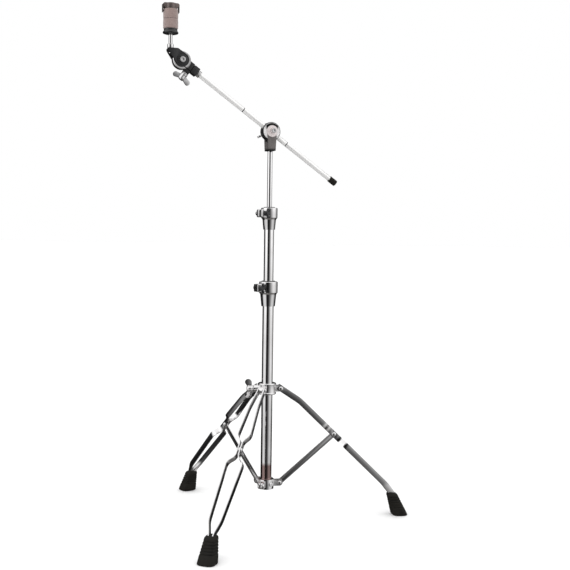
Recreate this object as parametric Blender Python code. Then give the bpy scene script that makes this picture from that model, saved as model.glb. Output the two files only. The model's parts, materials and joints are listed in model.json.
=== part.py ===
"""Boom cymbal stand: a double-braced folding tripod, two telescoping clamps, a boom arm
in a tilting drum, and a felt-covered cymbal seat on a split-band tilter.

Metres, +Z up. The stand is laid out around the axis of its column, and the empty called
"stand" then moves the whole of it so that the middle of its footprint is the origin."""
from math import acos, atan2, cos, pi, radians, sin

import bmesh
import bpy
from mathutils import Matrix, Vector

MM = 0.001

# Clearances
FIXED_GAP = 0.3 * MM        # between pieces that are fastened together
RUN_GAP = 0.4 * MM          # between pieces that move on each other

# Shared edges, threads and hexagon recesses
EDGE = 1.5 * MM             # chamfer of the cast pieces
SMALL_EDGE = 0.8 * MM
RECESS_R = 3.0 * MM         # recess for a key in the end of a screw
RECESS_DEPTH = 3.5 * MM

# Column tubes
BASE_TUBE_R = 14.3 * MM
TUBE_WALL = 1.2 * MM
MID_TUBE_R = BASE_TUBE_R - TUBE_WALL - RUN_GAP      # slides inside the base tube
ROD_R = 6.35 * MM
BASE_TUBE_BOTTOM = 88.0 * MM
BASE_TUBE_LENGTH = 512.0 * MM
MID_TUBE_SHOWN = 191.0 * MM     # from the top of the base tube to its own top
MID_TUBE_HIDDEN = 340.0 * MM
ROD_SHOWN = 163.0 * MM          # from the top of the mid tube to the yoke
ROD_HIDDEN = 350.0 * MM
PLUG_DEPTH = 8.0 * MM
PLUG_FLANGE = 2.5 * MM
GUIDE_BELOW = 4.0 * MM          # the rod's lower guide, below and above the rod's end
GUIDE_ABOVE = 12.0 * MM

# Folding tripod, in the plane of one leg: r outward from the column, z up
LEG_COUNT = 3
LEG_AZIMUTH = radians(9.07)
LEG_COLLAR_R = BASE_TUBE_R + 9.2 * MM
LUG_REACH = 11.5 * MM           # from the sliding collar's skin out to the pivots
PIVOT_RADIUS = LEG_COLLAR_R + LUG_REACH
LOWER_PIVOT_Z = 100.5 * MM
LINK_REACH = 143.0 * MM
LINK_RISE = 123.0 * MM
LEG_SLOPE = radians(44.1)
LEG_UPPER = 128.0 * MM          # from the middle joint up to the upper bend
LEG_LOWER = 195.0 * MM          # from the middle joint down to the lower bend
STRIP_WIDTH = 15.0 * MM
STRIP_T = 2.5 * MM
BRACE_WIDTH = 14.0 * MM
BRACE_T = 3.0 * MM
STRIP_SPREAD_BEND = 11.0 * MM   # half the distance between the two strips of a leg
STRIP_SPREAD_UPPER = 16.5 * MM
STRIP_SPREAD_LOWER = 21.0 * MM
STRIP_SPREAD_ANKLE = 15.0 * MM
STRIP_SPREAD_FOOT = 3.0 * MM
JOGGLE_OUTER = 38.0 * MM        # where the strips start to close on the middle joint
JOGGLE_INNER = 22.0 * MM        # where they lie flat against the brace
PIVOT_PIN_R = 3.0 * MM
PIVOT_HEAD_R = 5.5 * MM
PIVOT_HEAD_T = 3.0 * MM

# Collars that carry the tripod
LEG_COLLAR_GROOVE = (4.0 * MM, 5.5 * MM)      # where the wide rim ends and the waist begins
LEG_COLLAR_HEIGHT = 29.0 * MM
LUG_HALF_T = 6.0 * MM
LUG_HALF_H = 8.0 * MM
LEG_BOSS_R = 9.0 * MM
LEG_BOSS_REACH = 12.5 * MM      # from the collar's skin to the end of the boss
LEG_BOLT_R = 4.0 * MM
LEG_BOLT_HUB = (9.0 * MM, 15.0 * MM)
LOWER_COLLAR_R = BASE_TUBE_R + 5.7 * MM
LOWER_COLLAR_HEIGHT = 25.0 * MM
LOWER_COLLAR_DROP = 14.0 * MM   # from the lower pivots down to the collar's bottom
CHEEK_HALF_H = 8.0 * MM
CHEEK_T = 4.2 * MM
COLLAR_SCREW_R = 4.0 * MM
COLLAR_SCREW_HEAD_R = 5.5 * MM
COLLAR_SCREW_HEAD_T = 3.0 * MM
COLLAR_SCREW_AZIMUTH = radians(-50.0)

# Rubber feet
FOOT_HEIGHT = 59.0 * MM
FOOT_DROP = 83.5 * MM           # from the lower bend to the floor
FOOT_OUT = 42.3 * MM            # from the lower bend to the middle of the sole
FOOT_LEAN = 23.0 * MM           # the top of the boot leans in by this much
FOOT_SOLE_HALF = (20.5 * MM, 22.0 * MM)
FOOT_BITE = 34.0 * MM           # how far the strips reach into the boot
BOOT_SLACK = 1.6 * MM           # room for the bend where a strip enters the boot
BOOT_WALL = 4.4 * MM
FOOT_TOP_HALF = (STRIP_WIDTH / 2 + BOOT_SLACK + BOOT_WALL,
                 STRIP_SPREAD_FOOT + 1.5 * STRIP_T + BOOT_SLACK + BOOT_WALL)

# Tube clamps: the base clamp, then the mid clamp
CLAMP_HEIGHT = (32.0 * MM, 29.0 * MM)
TUBE_OUTER = (BASE_TUBE_R, MID_TUBE_R)
TUBE_INNER = (MID_TUBE_R, ROD_R)
CLAMP_R = (BASE_TUBE_R + 9.7 * MM, MID_TUBE_R + 8.3 * MM)
SKIRT_LENGTH = (31.0 * MM, 26.5 * MM)
SKIRT_TOP_R = (BASE_TUBE_R + 6.2 * MM, MID_TUBE_R + 4.5 * MM)
SKIRT_BOTTOM_R = (BASE_TUBE_R + 3.3 * MM, MID_TUBE_R + 2.3 * MM)
CLAMP_SLOT_AZIMUTH = (radians(208.0), radians(222.0))
CLAMP_BOLT_RADIUS = (CLAMP_R[0] + 4.0 * MM, CLAMP_R[1] + 3.5 * MM)
CLAMP_SLOT = 3.0 * MM
EAR_HALF_T = 12.0 * MM
EAR_REACH = 8.5 * MM            # from the bolt's axis to the outer end of an ear
EAR_HALF_H = 10.0 * MM
BUSH_STAND = (0.8 * MM, -0.45 * MM)     # a bush's skin beyond the skin of the tube it stands on
BUSH_WALL = tuple(under + stand - RUN_GAP - through
                  for under, stand, through in zip(TUBE_OUTER, BUSH_STAND, TUBE_INNER))
BUSH_FLANGE = 1.6 * MM
BUSH_FLANGE_REACH = 2.5 * MM
CLAMP_BOLT_R = 3.0 * MM
CLAMP_HEAD_R = 6.0 * MM
CLAMP_HEAD_T = 6.5 * MM
CLAMP_NUT_HUB = (6.5 * MM, 12.0 * MM)

# Wings: low edge, high edge, reach from the bolt's axis, thickness
CLAMP_WINGS = (7.0 * MM, 18.0 * MM, 13.0 * MM, 4.0 * MM)
LEG_WINGS = (2.5 * MM, 20.0 * MM, 24.5 * MM, 5.0 * MM)
TILT_WINGS = (4.0 * MM, 17.0 * MM, 28.0 * MM, 4.5 * MM)
BAND_WINGS = (6.0 * MM, 19.0 * MM, 24.0 * MM, 5.0 * MM)

# Boom: its plane is turned about the column, and it slopes down to the end cap
BOOM_YAW = radians(18.0)
BOOM_SLOPE = radians(35.0)
BOOM_R = 6.35 * MM
BOOM_WALL = 1.6 * MM
BOOM_CAP_REACH = 198.0 * MM     # from the tilt axis to the end cap
BOOM_TILTER_REACH = 283.0 * MM  # from the tilt axis to the middle of the tilter
BOOM_MARKS = (88.4 * MM, -51.6 * MM)
BOOM_MARK_WIDTH = 1.6 * MM
BOOM_MARK_DEPTH = 0.5 * MM
END_CAP_R = BOOM_R + 1.65 * MM
END_CAP_FLOOR = 3.0 * MM
END_CAP_LENGTH = 22.0 * MM
DRUM_R = 23.3 * MM
DRUM_HALF_T = 12.0 * MM
CHEEK_PLATE_T = 4.5 * MM
CHEEK_PLATE_HALF_W = 11.7 * MM
CHEEK_FOOT_HALF_W = 9.6 * MM
TILT_HEIGHT = 49.0 * MM         # from the bottom of the yoke up to the tilt axis
YOKE_FLOOR_GAP = 3.7 * MM       # between the drum and the floor of the yoke
YOKE_BASE_HEIGHT = TILT_HEIGHT - DRUM_R - YOKE_FLOOR_GAP
ROD_IN_YOKE = 15.4 * MM
YOKE_TOP = 20.0 * MM
TILT_PIN_R = 3.5 * MM
TILT_HEAD_R = 6.3 * MM
TILT_HEAD_T = 15.0 * MM
TILT_BOLT_HUB = (7.5 * MM, 14.0 * MM)
TILT_BOLT_TURN = radians(-28.0)  # how its wings happen to stand

# Tilter at the end of the boom
BAND_BORE_R = 14.3 * MM
BAND_R = BAND_BORE_R + 8.0 * MM
BAND_HALF_T = 9.0 * MM
BAND_SLOT = 2.4 * MM
BAND_EAR_TO = 33.0 * MM
BAND_EAR_DEPTH = 19.5 * MM
BAND_BOLT_AT = 25.5 * MM
SOCKET_LENGTH = 16.0 * MM
SOCKET_HALF = BOOM_R + 4.15 * MM
BOOM_IN_SOCKET = 12.0 * MM
LOCK_NUT_R = BOOM_R + 2.65 * MM
LOCK_NUT_T = 8.0 * MM
BAND_BOLT_HUB = (8.0 * MM, 16.0 * MM)
WASHER_R = 8.0 * MM
WASHER_T = 2.5 * MM
CHEEK_DISC_R = BAND_BORE_R + 2.7 * MM
AXLE_HEAD_R = 7.0 * MM
AXLE_HEAD_T = 4.5 * MM
AXLE_TAIL_R = 6.0 * MM
AXLE_TAIL_T = 4.0 * MM
TILTER_PLATE_T = 4.0 * MM
ARM_SETBACK = 27.2 * MM         # from the middle of the tilter back to the cymbal rod
ARM_RISE = 27.0 * MM            # and up to the shoulder that the rod stands on
ARM_HALF_W = 9.5 * MM

# Cymbal seat, from the shoulder up
SEAT_ROD_R = 4.8 * MM
SEAT_THREAD_R = 4.0 * MM
COLLAR_NUT_R = 7.6 * MM
COLLAR_NUT_HEIGHT = 11.0 * MM
SEAT_ROD_HEIGHT = 34.0 * MM     # from the shoulder to the underside of the cup
CUP_HEIGHT = 12.5 * MM
CUP_TOP_R = 16.5 * MM
CUP_FLANGE_R = 19.3 * MM
CUP_FLANGE_T = 2.5 * MM
CUP_FOOT_R = 13.3 * MM
SEAT_THREAD_DEPTH = 12.0 * MM    # how far the rod screws into the arm
SLEEVE_R = 6.0 * MM
FELT_R = 18.5 * MM
FELT_HEIGHT = 23.2 * MM
QUICK_NUT_HEIGHT = 14.0 * MM
QUICK_NUT_R = 13.0 * MM
QUICK_LOBE_T = 0.95 * MM
QUICK_LOBE_HALF_W = 7.0 * MM
QUICK_NUT_HALF_SPAN = FELT_R + 2 * RUN_GAP + QUICK_LOBE_T       # the lobes hang beside the felt
QUICK_NUT_DROP = 8.0 * MM

ROUND = 28                      # sides of a large turned piece
SMALL_ROUND = 16
PIN_ROUND = 12

CHROME = ("chrome", (0.80, 0.80, 0.82), 0.08, 1.0)
BLACK = ("black_casting", (0.02, 0.02, 0.022), 0.35, 0.2)
RUBBER = ("rubber", (0.015, 0.015, 0.015), 0.75, 0.0)
NYLON = ("nylon", (0.03, 0.03, 0.032), 0.5, 0.0)
FELT = ("felt", (0.44, 0.38, 0.37), 1.0, 0.0)
GREY = ("grey_casting", (0.22, 0.21, 0.22), 0.4, 0.6)

for leftover in list(bpy.data.objects):
    bpy.data.objects.remove(leftover, do_unlink=True)

stand = bpy.data.objects.new("stand", None)
bpy.context.scene.collection.objects.link(stand)


# ---------------------------------------------------------------- building blocks

def material(spec):
    name, color, roughness, metallic = spec
    found = bpy.data.materials.get(name)
    if found:
        return found
    made = bpy.data.materials.new(name)
    made.use_nodes = True
    shader = made.node_tree.nodes["Principled BSDF"]
    shader.inputs["Base Color"].default_value = (*color, 1.0)
    shader.inputs["Roughness"].default_value = roughness
    shader.inputs["Metallic"].default_value = metallic
    return made


def turn(degrees_or_radians, axis):
    return Matrix.Rotation(degrees_or_radians, 4, axis)


def place(x=0.0, y=0.0, z=0.0):
    return Matrix.Translation((x, y, z))


def to_object(name, bm, spec, frame):
    """A finished piece: its mesh in its own frame, smooth where it is round."""
    bmesh.ops.remove_doubles(bm, verts=bm.verts, dist=0.000002)
    bmesh.ops.recalc_face_normals(bm, faces=bm.faces)
    mesh = bpy.data.meshes.new(name)
    bm.to_mesh(mesh)
    bm.free()
    mesh.shade_smooth()
    mesh.set_sharp_from_angle(angle=radians(35))
    mesh.materials.append(material(spec))
    piece = bpy.data.objects.new(name, mesh)
    bpy.context.scene.collection.objects.link(piece)
    piece.parent = stand
    piece.matrix_basis = frame
    return piece


def add(bm, other, matrix=None):
    """Move a shape into another bmesh, so that both are one mesh of separate bodies."""
    if matrix is not None:
        bmesh.ops.transform(other, matrix=matrix, verts=other.verts)
    scratch = bpy.data.meshes.new("scratch")
    other.to_mesh(scratch)
    other.free()
    bm.from_mesh(scratch)
    bpy.data.meshes.remove(scratch)
    return bm


def turned(profile, steps=ROUND):
    """A closed outline of (radius, height) points, turned about Z."""
    bm = bmesh.new()
    verts = [bm.verts.new((radius, 0, height)) for radius, height in profile]
    on_axis = profile[0][0] == 0 and profile[-1][0] == 0
    pairs = list(zip(verts, verts[1:])) + ([] if on_axis else [(verts[-1], verts[0])])
    edges = [bm.edges.new(pair) for pair in pairs]
    bmesh.ops.spin(bm, geom=verts + edges, cent=(0, 0, 0), axis=(0, 0, 1), angle=2 * pi,
                   steps=steps, use_merge=True)
    bmesh.ops.remove_doubles(bm, verts=bm.verts, dist=0.000002)
    return bm


def rod(radius, low, high, chamfer=0.0, steps=SMALL_ROUND):
    """A solid round bar along Z with chamfered ends."""
    profile = [(0, low), (radius - chamfer, low), (radius, low + chamfer),
               (radius, high - chamfer), (radius - chamfer, high), (0, high)]
    if chamfer == 0:
        profile = [(0, low), (radius, low), (radius, high), (0, high)]
    return turned(profile, steps)


def ring(inner, outer, low, high, chamfer=0.0, steps=ROUND):
    """A tube along Z with its outer edges chamfered."""
    if chamfer == 0:
        return turned([(inner, low), (outer, low), (outer, high), (inner, high)], steps)
    return turned([(inner, low), (outer - chamfer, low), (outer, low + chamfer),
                   (outer, high - chamfer), (outer - chamfer, high), (inner, high)], steps)


def block(low, high, bevel=0.0):
    """A box between two corners."""
    bm = bmesh.new()
    bmesh.ops.create_cube(bm, size=1.0)
    size = [b - a for a, b in zip(low, high)]
    middle = [(a + b) / 2 for a, b in zip(low, high)]
    bmesh.ops.transform(bm, matrix=place(*middle) @ Matrix.Diagonal((*size, 1.0)), verts=bm.verts)
    if bevel:
        bmesh.ops.bevel(bm, geom=bm.edges[:], offset=bevel, offset_type="OFFSET", segments=1,
                        profile=0.5, affect="EDGES", material=-1)
    return bm


def plate(outline, low, high):
    """A flat outline of (x, z) points given thickness along Y."""
    bm = bmesh.new()
    face = bm.faces.new([bm.verts.new((x, low, z)) for x, z in outline])
    grown = bmesh.ops.extrude_face_region(bm, geom=[face])
    verts = [item for item in grown["geom"] if isinstance(item, bmesh.types.BMVert)]
    bmesh.ops.translate(bm, vec=(0, high - low, 0), verts=verts)
    bmesh.ops.recalc_face_normals(bm, faces=bm.faces)
    return bm


def arc(center, radius, start, end, count):
    """Points on an arc, from one angle to another."""
    return [(center[0] + radius * cos(start + (end - start) * i / count),
             center[1] + radius * sin(start + (end - start) * i / count)) for i in range(count + 1)]


def boolean(piece, cutter_bm, operation):
    """Cut or join a shape, given in the piece's own frame."""
    cutter = to_object(piece.name + "_tool", cutter_bm, NYLON, piece.matrix_basis)
    cutter.hide_render = True
    cutter.display_type = "WIRE"
    change = piece.modifiers.new(operation.lower(), "BOOLEAN")
    change.operation = operation
    change.object = cutter


def cut(piece, cutter_bm):
    boolean(piece, cutter_bm, "DIFFERENCE")


def join(piece, extra_bm):
    boolean(piece, extra_bm, "UNION")


# ---------------------------------------------------------------- tripod geometry

MID_R = PIVOT_RADIUS + LINK_REACH
MID_Z = LOWER_PIVOT_Z + LINK_RISE
UPPER_PIVOT_Z = LOWER_PIVOT_Z + 2 * LINK_RISE


def leg_axis(index):
    return LEG_AZIMUTH + index * 2 * pi / LEG_COUNT


def leg_frame(index, r=0.0, z=0.0):
    """The frame of a point in the plane of a leg: X outward, Y across, Z up."""
    return turn(leg_axis(index), "Z") @ place(r, 0, z)


def leg_path():
    """Stations of one strip: r, z and half the spread, from the upper pivot to the foot."""
    down = Vector((cos(LEG_SLOPE), -sin(LEG_SLOPE)))
    middle = Vector((MID_R, MID_Z))
    pivot = Vector((PIVOT_RADIUS, UPPER_PIVOT_Z))
    upper_bend = middle - down * LEG_UPPER
    ankle = middle + down * LEG_LOWER
    sole = ankle + Vector((FOOT_OUT, -FOOT_DROP))
    boot_top = sole + Vector((-FOOT_LEAN, FOOT_HEIGHT))
    into_boot = (sole - boot_top).normalized()
    first = (upper_bend - pivot).normalized()
    beside_lug = LUG_HALF_T + RUN_GAP + STRIP_T / 2
    beside_brace = BRACE_T / 2 + RUN_GAP + STRIP_T / 2
    beside_lug_end = pivot + first * (STRIP_WIDTH * 0.7)
    stations = [
        (pivot - first * STRIP_WIDTH * 0.5, beside_lug),
        (beside_lug_end, beside_lug),
        (upper_bend, STRIP_SPREAD_BEND),
        (middle - down * JOGGLE_OUTER, STRIP_SPREAD_UPPER),
        (middle - down * JOGGLE_INNER, beside_brace),
        (middle + down * JOGGLE_INNER, beside_brace),
        (middle + down * JOGGLE_OUTER, STRIP_SPREAD_LOWER),
        (ankle, STRIP_SPREAD_ANKLE),
        (boot_top, STRIP_SPREAD_FOOT + STRIP_T),
        (boot_top + into_boot * FOOT_BITE, STRIP_SPREAD_FOOT)]
    return stations, ankle, sole, boot_top


def strip(width, thickness, stations, side, pivot):
    """A flat bar bent along its stations, on one side of the leg's plane."""
    bm = bmesh.new()
    loops = []
    count = len(stations)
    for index, (point, spread) in enumerate(stations):
        before = (point - stations[index - 1][0]).normalized() if index else None
        after = (stations[index + 1][0] - point).normalized() if index < count - 1 else None
        before = before or after
        after = after or before
        across = Vector((-(before + after).y, (before + after).x)).normalized()
        reach = width / 2 / max(0.2, across.dot(Vector((-after.y, after.x))))
        loop = []
        for edge, skin in ((-1, -1), (1, -1), (1, 1), (-1, 1)):
            spot = point + across * reach * edge
            loop.append(bm.verts.new((spot.x - pivot.x, side * spread + skin * thickness / 2,
                                      spot.y - pivot.y)))
        loops.append(loop)
    for first, second in zip(loops, loops[1:]):
        for corner in range(4):
            after = (corner + 1) % 4
            bm.faces.new((first[corner], first[after], second[after], second[corner]))
    bm.faces.new(loops[0])
    bm.faces.new(loops[-1][::-1])
    bmesh.ops.recalc_face_normals(bm, faces=bm.faces)
    return bm


def across(radius, half_length, steps=PIN_ROUND, chamfer=0.0):
    """A round bar along Y, centred on the frame's origin."""
    return add(bmesh.new(), rod(radius, -half_length, half_length, chamfer, steps), turn(pi / 2, "X"))


def winged(name, spec, frame, hub, wings, bore_r=0.0, depth=0.0):
    """A wing nut or the head of a wing bolt along +Z from its seat at 0, its wings in the XZ plane."""
    hub_r, hub_length = hub
    piece = to_object(name, rod(hub_r, 0, hub_length, 0.8 * MM), spec, frame)
    for side in (0, 1):
        join(piece, wing(hub_r, hub_length, wings, side))
    if bore_r:
        cut(piece, rod(bore_r, -MM, depth))
    return piece


def wing(hub_r, hub_length, wings, side):
    """One wing: it leaves the hub, widens and ends in a round tip."""
    low, high, tip_r, thickness = wings
    tip = (high - low) / 2
    outline = [(hub_r * 0.4, hub_length * 0.2)]
    outline += arc((tip_r - tip, (low + high) / 2), tip, -pi / 2, pi / 2, 8)
    outline += [(hub_r * 0.4, hub_length * 0.85)]
    shape = plate(outline, -thickness / 2, thickness / 2)
    bmesh.ops.transform(shape, matrix=turn(side * pi, "Z"), verts=shape.verts)
    return shape


# ---------------------------------------------------------------- column

BASE_SEAT_Z = BASE_TUBE_BOTTOM + BASE_TUBE_LENGTH        # top end of the base tube
MID_TUBE_TOP = BASE_SEAT_Z + MID_TUBE_SHOWN
SEAT_Z = (BASE_SEAT_Z, MID_TUBE_TOP)
SEAT_ABOVE_BODY = 10.0 * MM     # how far the lower tube reaches into the clamp's body
YOKE_BOTTOM = MID_TUBE_TOP + ROD_SHOWN


def make_tubes():
    to_object("base_tube", ring(BASE_TUBE_R - TUBE_WALL, BASE_TUBE_R, BASE_TUBE_BOTTOM, BASE_SEAT_Z),
              CHROME, Matrix())
    plug_r = BASE_TUBE_R - TUBE_WALL - FIXED_GAP
    plug_low = BASE_TUBE_BOTTOM - PLUG_FLANGE
    plug_high = BASE_TUBE_BOTTOM + PLUG_DEPTH
    under_tube = BASE_TUBE_BOTTOM - FIXED_GAP
    plug = turned([(0, plug_low), (BASE_TUBE_R - SMALL_EDGE, plug_low), (BASE_TUBE_R, plug_low + SMALL_EDGE),
                   (BASE_TUBE_R, under_tube), (plug_r, under_tube), (plug_r, plug_high), (0, plug_high)],
                  SMALL_ROUND)
    to_object("base_tube_plug", plug, NYLON, Matrix())
    mid_bottom = BASE_SEAT_Z - MID_TUBE_HIDDEN
    to_object("mid_tube", ring(MID_TUBE_R - TUBE_WALL, MID_TUBE_R, mid_bottom, MID_TUBE_TOP),
              CHROME, Matrix())
    rod_bottom = MID_TUBE_TOP - ROD_HIDDEN
    rod_top = YOKE_BOTTOM + ROD_IN_YOKE
    to_object("upper_rod", rod(ROD_R, rod_bottom, rod_top, 0.6 * MM, SMALL_ROUND), CHROME, Matrix())
    guide_r = MID_TUBE_R - TUBE_WALL - RUN_GAP
    guide = to_object("upper_rod_guide", rod(guide_r, rod_bottom - GUIDE_BELOW, rod_bottom + GUIDE_ABOVE,
                                             SMALL_EDGE, SMALL_ROUND), NYLON, Matrix())
    cut(guide, rod(ROD_R + FIXED_GAP, rod_bottom - FIXED_GAP, rod_bottom + 2 * GUIDE_ABOVE))


def make_clamp(index, names):
    """A split tube clamp: cast body with a tapered skirt, ears, bush, bolt and wing nut."""
    body_name, bush_name, bolt_name, nut_name = names
    seat = SEAT_Z[index]
    body_bottom = seat - SEAT_ABOVE_BODY
    body_top = body_bottom + CLAMP_HEIGHT[index]
    outer = CLAMP_R[index]
    tube_bore = TUBE_OUTER[index] + FIXED_GAP
    bush_bore = TUBE_INNER[index] + RUN_GAP
    bush_outer = bush_bore + BUSH_WALL[index]
    frame = turn(CLAMP_SLOT_AZIMUTH[index], "Z")
    middle = (body_bottom + body_top) / 2
    bolt_r = CLAMP_BOLT_RADIUS[index]
    housing = bush_outer + FIXED_GAP
    profile = [(tube_bore, body_bottom - SKIRT_LENGTH[index]),
               (SKIRT_BOTTOM_R[index], body_bottom - SKIRT_LENGTH[index]),
               (SKIRT_TOP_R[index], body_bottom - 2 * MM), (outer - 3 * MM, body_bottom),
               (outer, body_bottom + 4 * MM), (outer, body_top - 1.5 * MM),
               (outer - 1.5 * MM, body_top), (housing, body_top),
               (housing, seat + FIXED_GAP), (tube_bore, seat + FIXED_GAP)]
    body = to_object(body_name, turned(profile), CHROME, frame)
    ear = block((outer * 0.75, -EAR_HALF_T, middle - EAR_HALF_H),
                (bolt_r + EAR_REACH, EAR_HALF_T, middle + EAR_HALF_H), 1.5 * MM)
    join(body, ear)
    cut(body, rod(housing, seat + FIXED_GAP, body_top + 5 * MM, steps=ROUND))
    cut(body, block((housing * 0.6, -CLAMP_SLOT / 2, body_bottom - SKIRT_LENGTH[index] * 0.1),
                    (bolt_r + EAR_REACH + 5 * MM, CLAMP_SLOT / 2, body_top + 5 * MM)))
    across_frame = place(bolt_r, 0, middle)
    cut(body, add(bmesh.new(), across(CLAMP_BOLT_R + FIXED_GAP, EAR_HALF_T * 2), across_frame))

    flange_r = bush_outer + BUSH_FLANGE_REACH
    to_object(bush_name, turned([(bush_bore, seat + 2 * FIXED_GAP), (bush_outer, seat + 2 * FIXED_GAP),
                                 (bush_outer, body_top + FIXED_GAP),
                                 (flange_r, body_top + FIXED_GAP),
                                 (flange_r, body_top + FIXED_GAP + BUSH_FLANGE / 2),
                                 (flange_r - BUSH_FLANGE / 2, body_top + FIXED_GAP + BUSH_FLANGE),
                                 (bush_bore, body_top + FIXED_GAP + BUSH_FLANGE)]), NYLON, frame)

    seat_at = EAR_HALF_T + FIXED_GAP
    head_top = seat_at + CLAMP_HEAD_T
    nut_length = CLAMP_NUT_HUB[1]
    bolt_frame = frame @ across_frame @ turn(pi / 2, "X")     # +Z of this frame is the head's side
    bolt_tip = -(seat_at + nut_length - 3 * MM)
    bolt = turned([(0, bolt_tip), (CLAMP_BOLT_R, bolt_tip), (CLAMP_BOLT_R, seat_at),
                   (CLAMP_HEAD_R, seat_at), (CLAMP_HEAD_R, head_top - EDGE), (CLAMP_HEAD_R - EDGE, head_top),
                   (RECESS_R, head_top), (RECESS_R, head_top - RECESS_DEPTH),
                   (0, head_top - RECESS_DEPTH)], SMALL_ROUND)
    to_object(bolt_name, bolt, CHROME, bolt_frame)
    nut_frame = bolt_frame @ turn(pi, "X") @ place(0, 0, seat_at) @ turn(pi / 2, "Z")
    winged(nut_name, BLACK, nut_frame, CLAMP_NUT_HUB, CLAMP_WINGS, CLAMP_BOLT_R + RUN_GAP,
           nut_length - 2 * MM)


# ---------------------------------------------------------------- tripod

def make_lower_collar():
    """Fixed collar at the foot of the column, with a fork for each brace."""
    bottom = LOWER_PIVOT_Z - LOWER_COLLAR_DROP
    top = bottom + LOWER_COLLAR_HEIGHT
    bore = BASE_TUBE_R + FIXED_GAP
    collar = to_object("lower_collar", ring(bore, LOWER_COLLAR_R, bottom, top, EDGE), CHROME, Matrix())
    inner_face = BRACE_T / 2 + RUN_GAP
    for index in range(LEG_COUNT):
        frame = leg_frame(index)
        for side in (1, -1):
            low, high = sorted((side * inner_face, side * (inner_face + CHEEK_T)))
            outline = [((LOWER_COLLAR_R + bore) / 2, LOWER_PIVOT_Z - CHEEK_HALF_H)]
            outline += arc((PIVOT_RADIUS, LOWER_PIVOT_Z), CHEEK_HALF_H, -pi / 2, pi / 2, 8)
            outline += [((LOWER_COLLAR_R + bore) / 2, LOWER_PIVOT_Z + CHEEK_HALF_H)]
            join(collar, add(bmesh.new(), plate(outline, low, high), frame))
        cut(collar, add(bmesh.new(), across(PIVOT_PIN_R + FIXED_GAP, 20 * MM),
                        frame @ place(PIVOT_RADIUS, 0, LOWER_PIVOT_Z)))
    screw_frame = turn(COLLAR_SCREW_AZIMUTH, "Z") @ place(0, 0, (bottom + top) / 2) @ turn(pi / 2, "Y")
    cut(collar, add(bmesh.new(), rod(COLLAR_SCREW_R + FIXED_GAP, BASE_TUBE_R - MM, LOWER_COLLAR_R + MM),
                    screw_frame))
    tip = BASE_TUBE_R + FIXED_GAP
    under_head = LOWER_COLLAR_R + FIXED_GAP
    head_top = LOWER_COLLAR_R + COLLAR_SCREW_HEAD_T
    recess_r = RECESS_R - SMALL_EDGE / 2
    screw = turned([(0, tip), (COLLAR_SCREW_R, tip), (COLLAR_SCREW_R, under_head),
                    (COLLAR_SCREW_HEAD_R, under_head), (COLLAR_SCREW_HEAD_R - SMALL_EDGE, head_top),
                    (recess_r, head_top), (recess_r, LOWER_COLLAR_R + MM), (0, LOWER_COLLAR_R + MM)],
                   SMALL_ROUND)
    to_object("lower_collar_screw", screw, CHROME, screw_frame)


def make_leg_collar():
    """Sliding collar that carries the tops of the legs, with its wing bolt."""
    bottom = UPPER_PIVOT_Z - LEG_COLLAR_HEIGHT / 2
    top = UPPER_PIVOT_Z + LEG_COLLAR_HEIGHT / 2
    bore = BASE_TUBE_R + RUN_GAP
    waist = LEG_COLLAR_R - EDGE
    rim, waist_from = LEG_COLLAR_GROOVE
    collar = to_object("leg_collar", turned(
        [(bore, bottom), (waist, bottom), (LEG_COLLAR_R, bottom + EDGE), (LEG_COLLAR_R, bottom + rim),
         (waist, bottom + waist_from), (waist, top - waist_from), (LEG_COLLAR_R, top - rim),
         (LEG_COLLAR_R, top - EDGE), (waist, top), (bore, top)]), CHROME, Matrix())
    inside = (LEG_COLLAR_R + bore) / 2
    for index in range(LEG_COUNT):
        frame = leg_frame(index)
        outline = [(inside, UPPER_PIVOT_Z - LUG_HALF_H)]
        outline += arc((PIVOT_RADIUS, UPPER_PIVOT_Z), LUG_HALF_H, -pi / 2, pi / 2, 8)
        outline += [(inside, UPPER_PIVOT_Z + LUG_HALF_H)]
        join(collar, add(bmesh.new(), plate(outline, -LUG_HALF_T, LUG_HALF_T), frame))
        cut(collar, add(bmesh.new(), across(PIVOT_PIN_R + FIXED_GAP, 20 * MM),
                        frame @ place(PIVOT_RADIUS, 0, UPPER_PIVOT_Z)))
    boss_end = LEG_COLLAR_R + LEG_BOSS_REACH
    frame = turn(LEG_AZIMUTH + pi, "Z") @ place(0, 0, UPPER_PIVOT_Z) @ turn(pi / 2, "Y")
    join(collar, add(bmesh.new(), rod(LEG_BOSS_R, inside, boss_end, SMALL_EDGE), frame))
    cut(collar, add(bmesh.new(), rod(LEG_BOLT_R + RUN_GAP, BASE_TUBE_R - 2 * MM, boss_end + 5 * MM),
                    frame))

    hub_at = boss_end + EDGE
    bolt = winged("leg_collar_wing_bolt", CHROME, frame @ place(0, 0, hub_at),
                  LEG_BOLT_HUB, LEG_WINGS)
    shank_from = BASE_TUBE_R + RUN_GAP
    join(bolt, rod(LEG_BOLT_R, shank_from - hub_at, 4 * MM, SMALL_EDGE))


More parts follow.
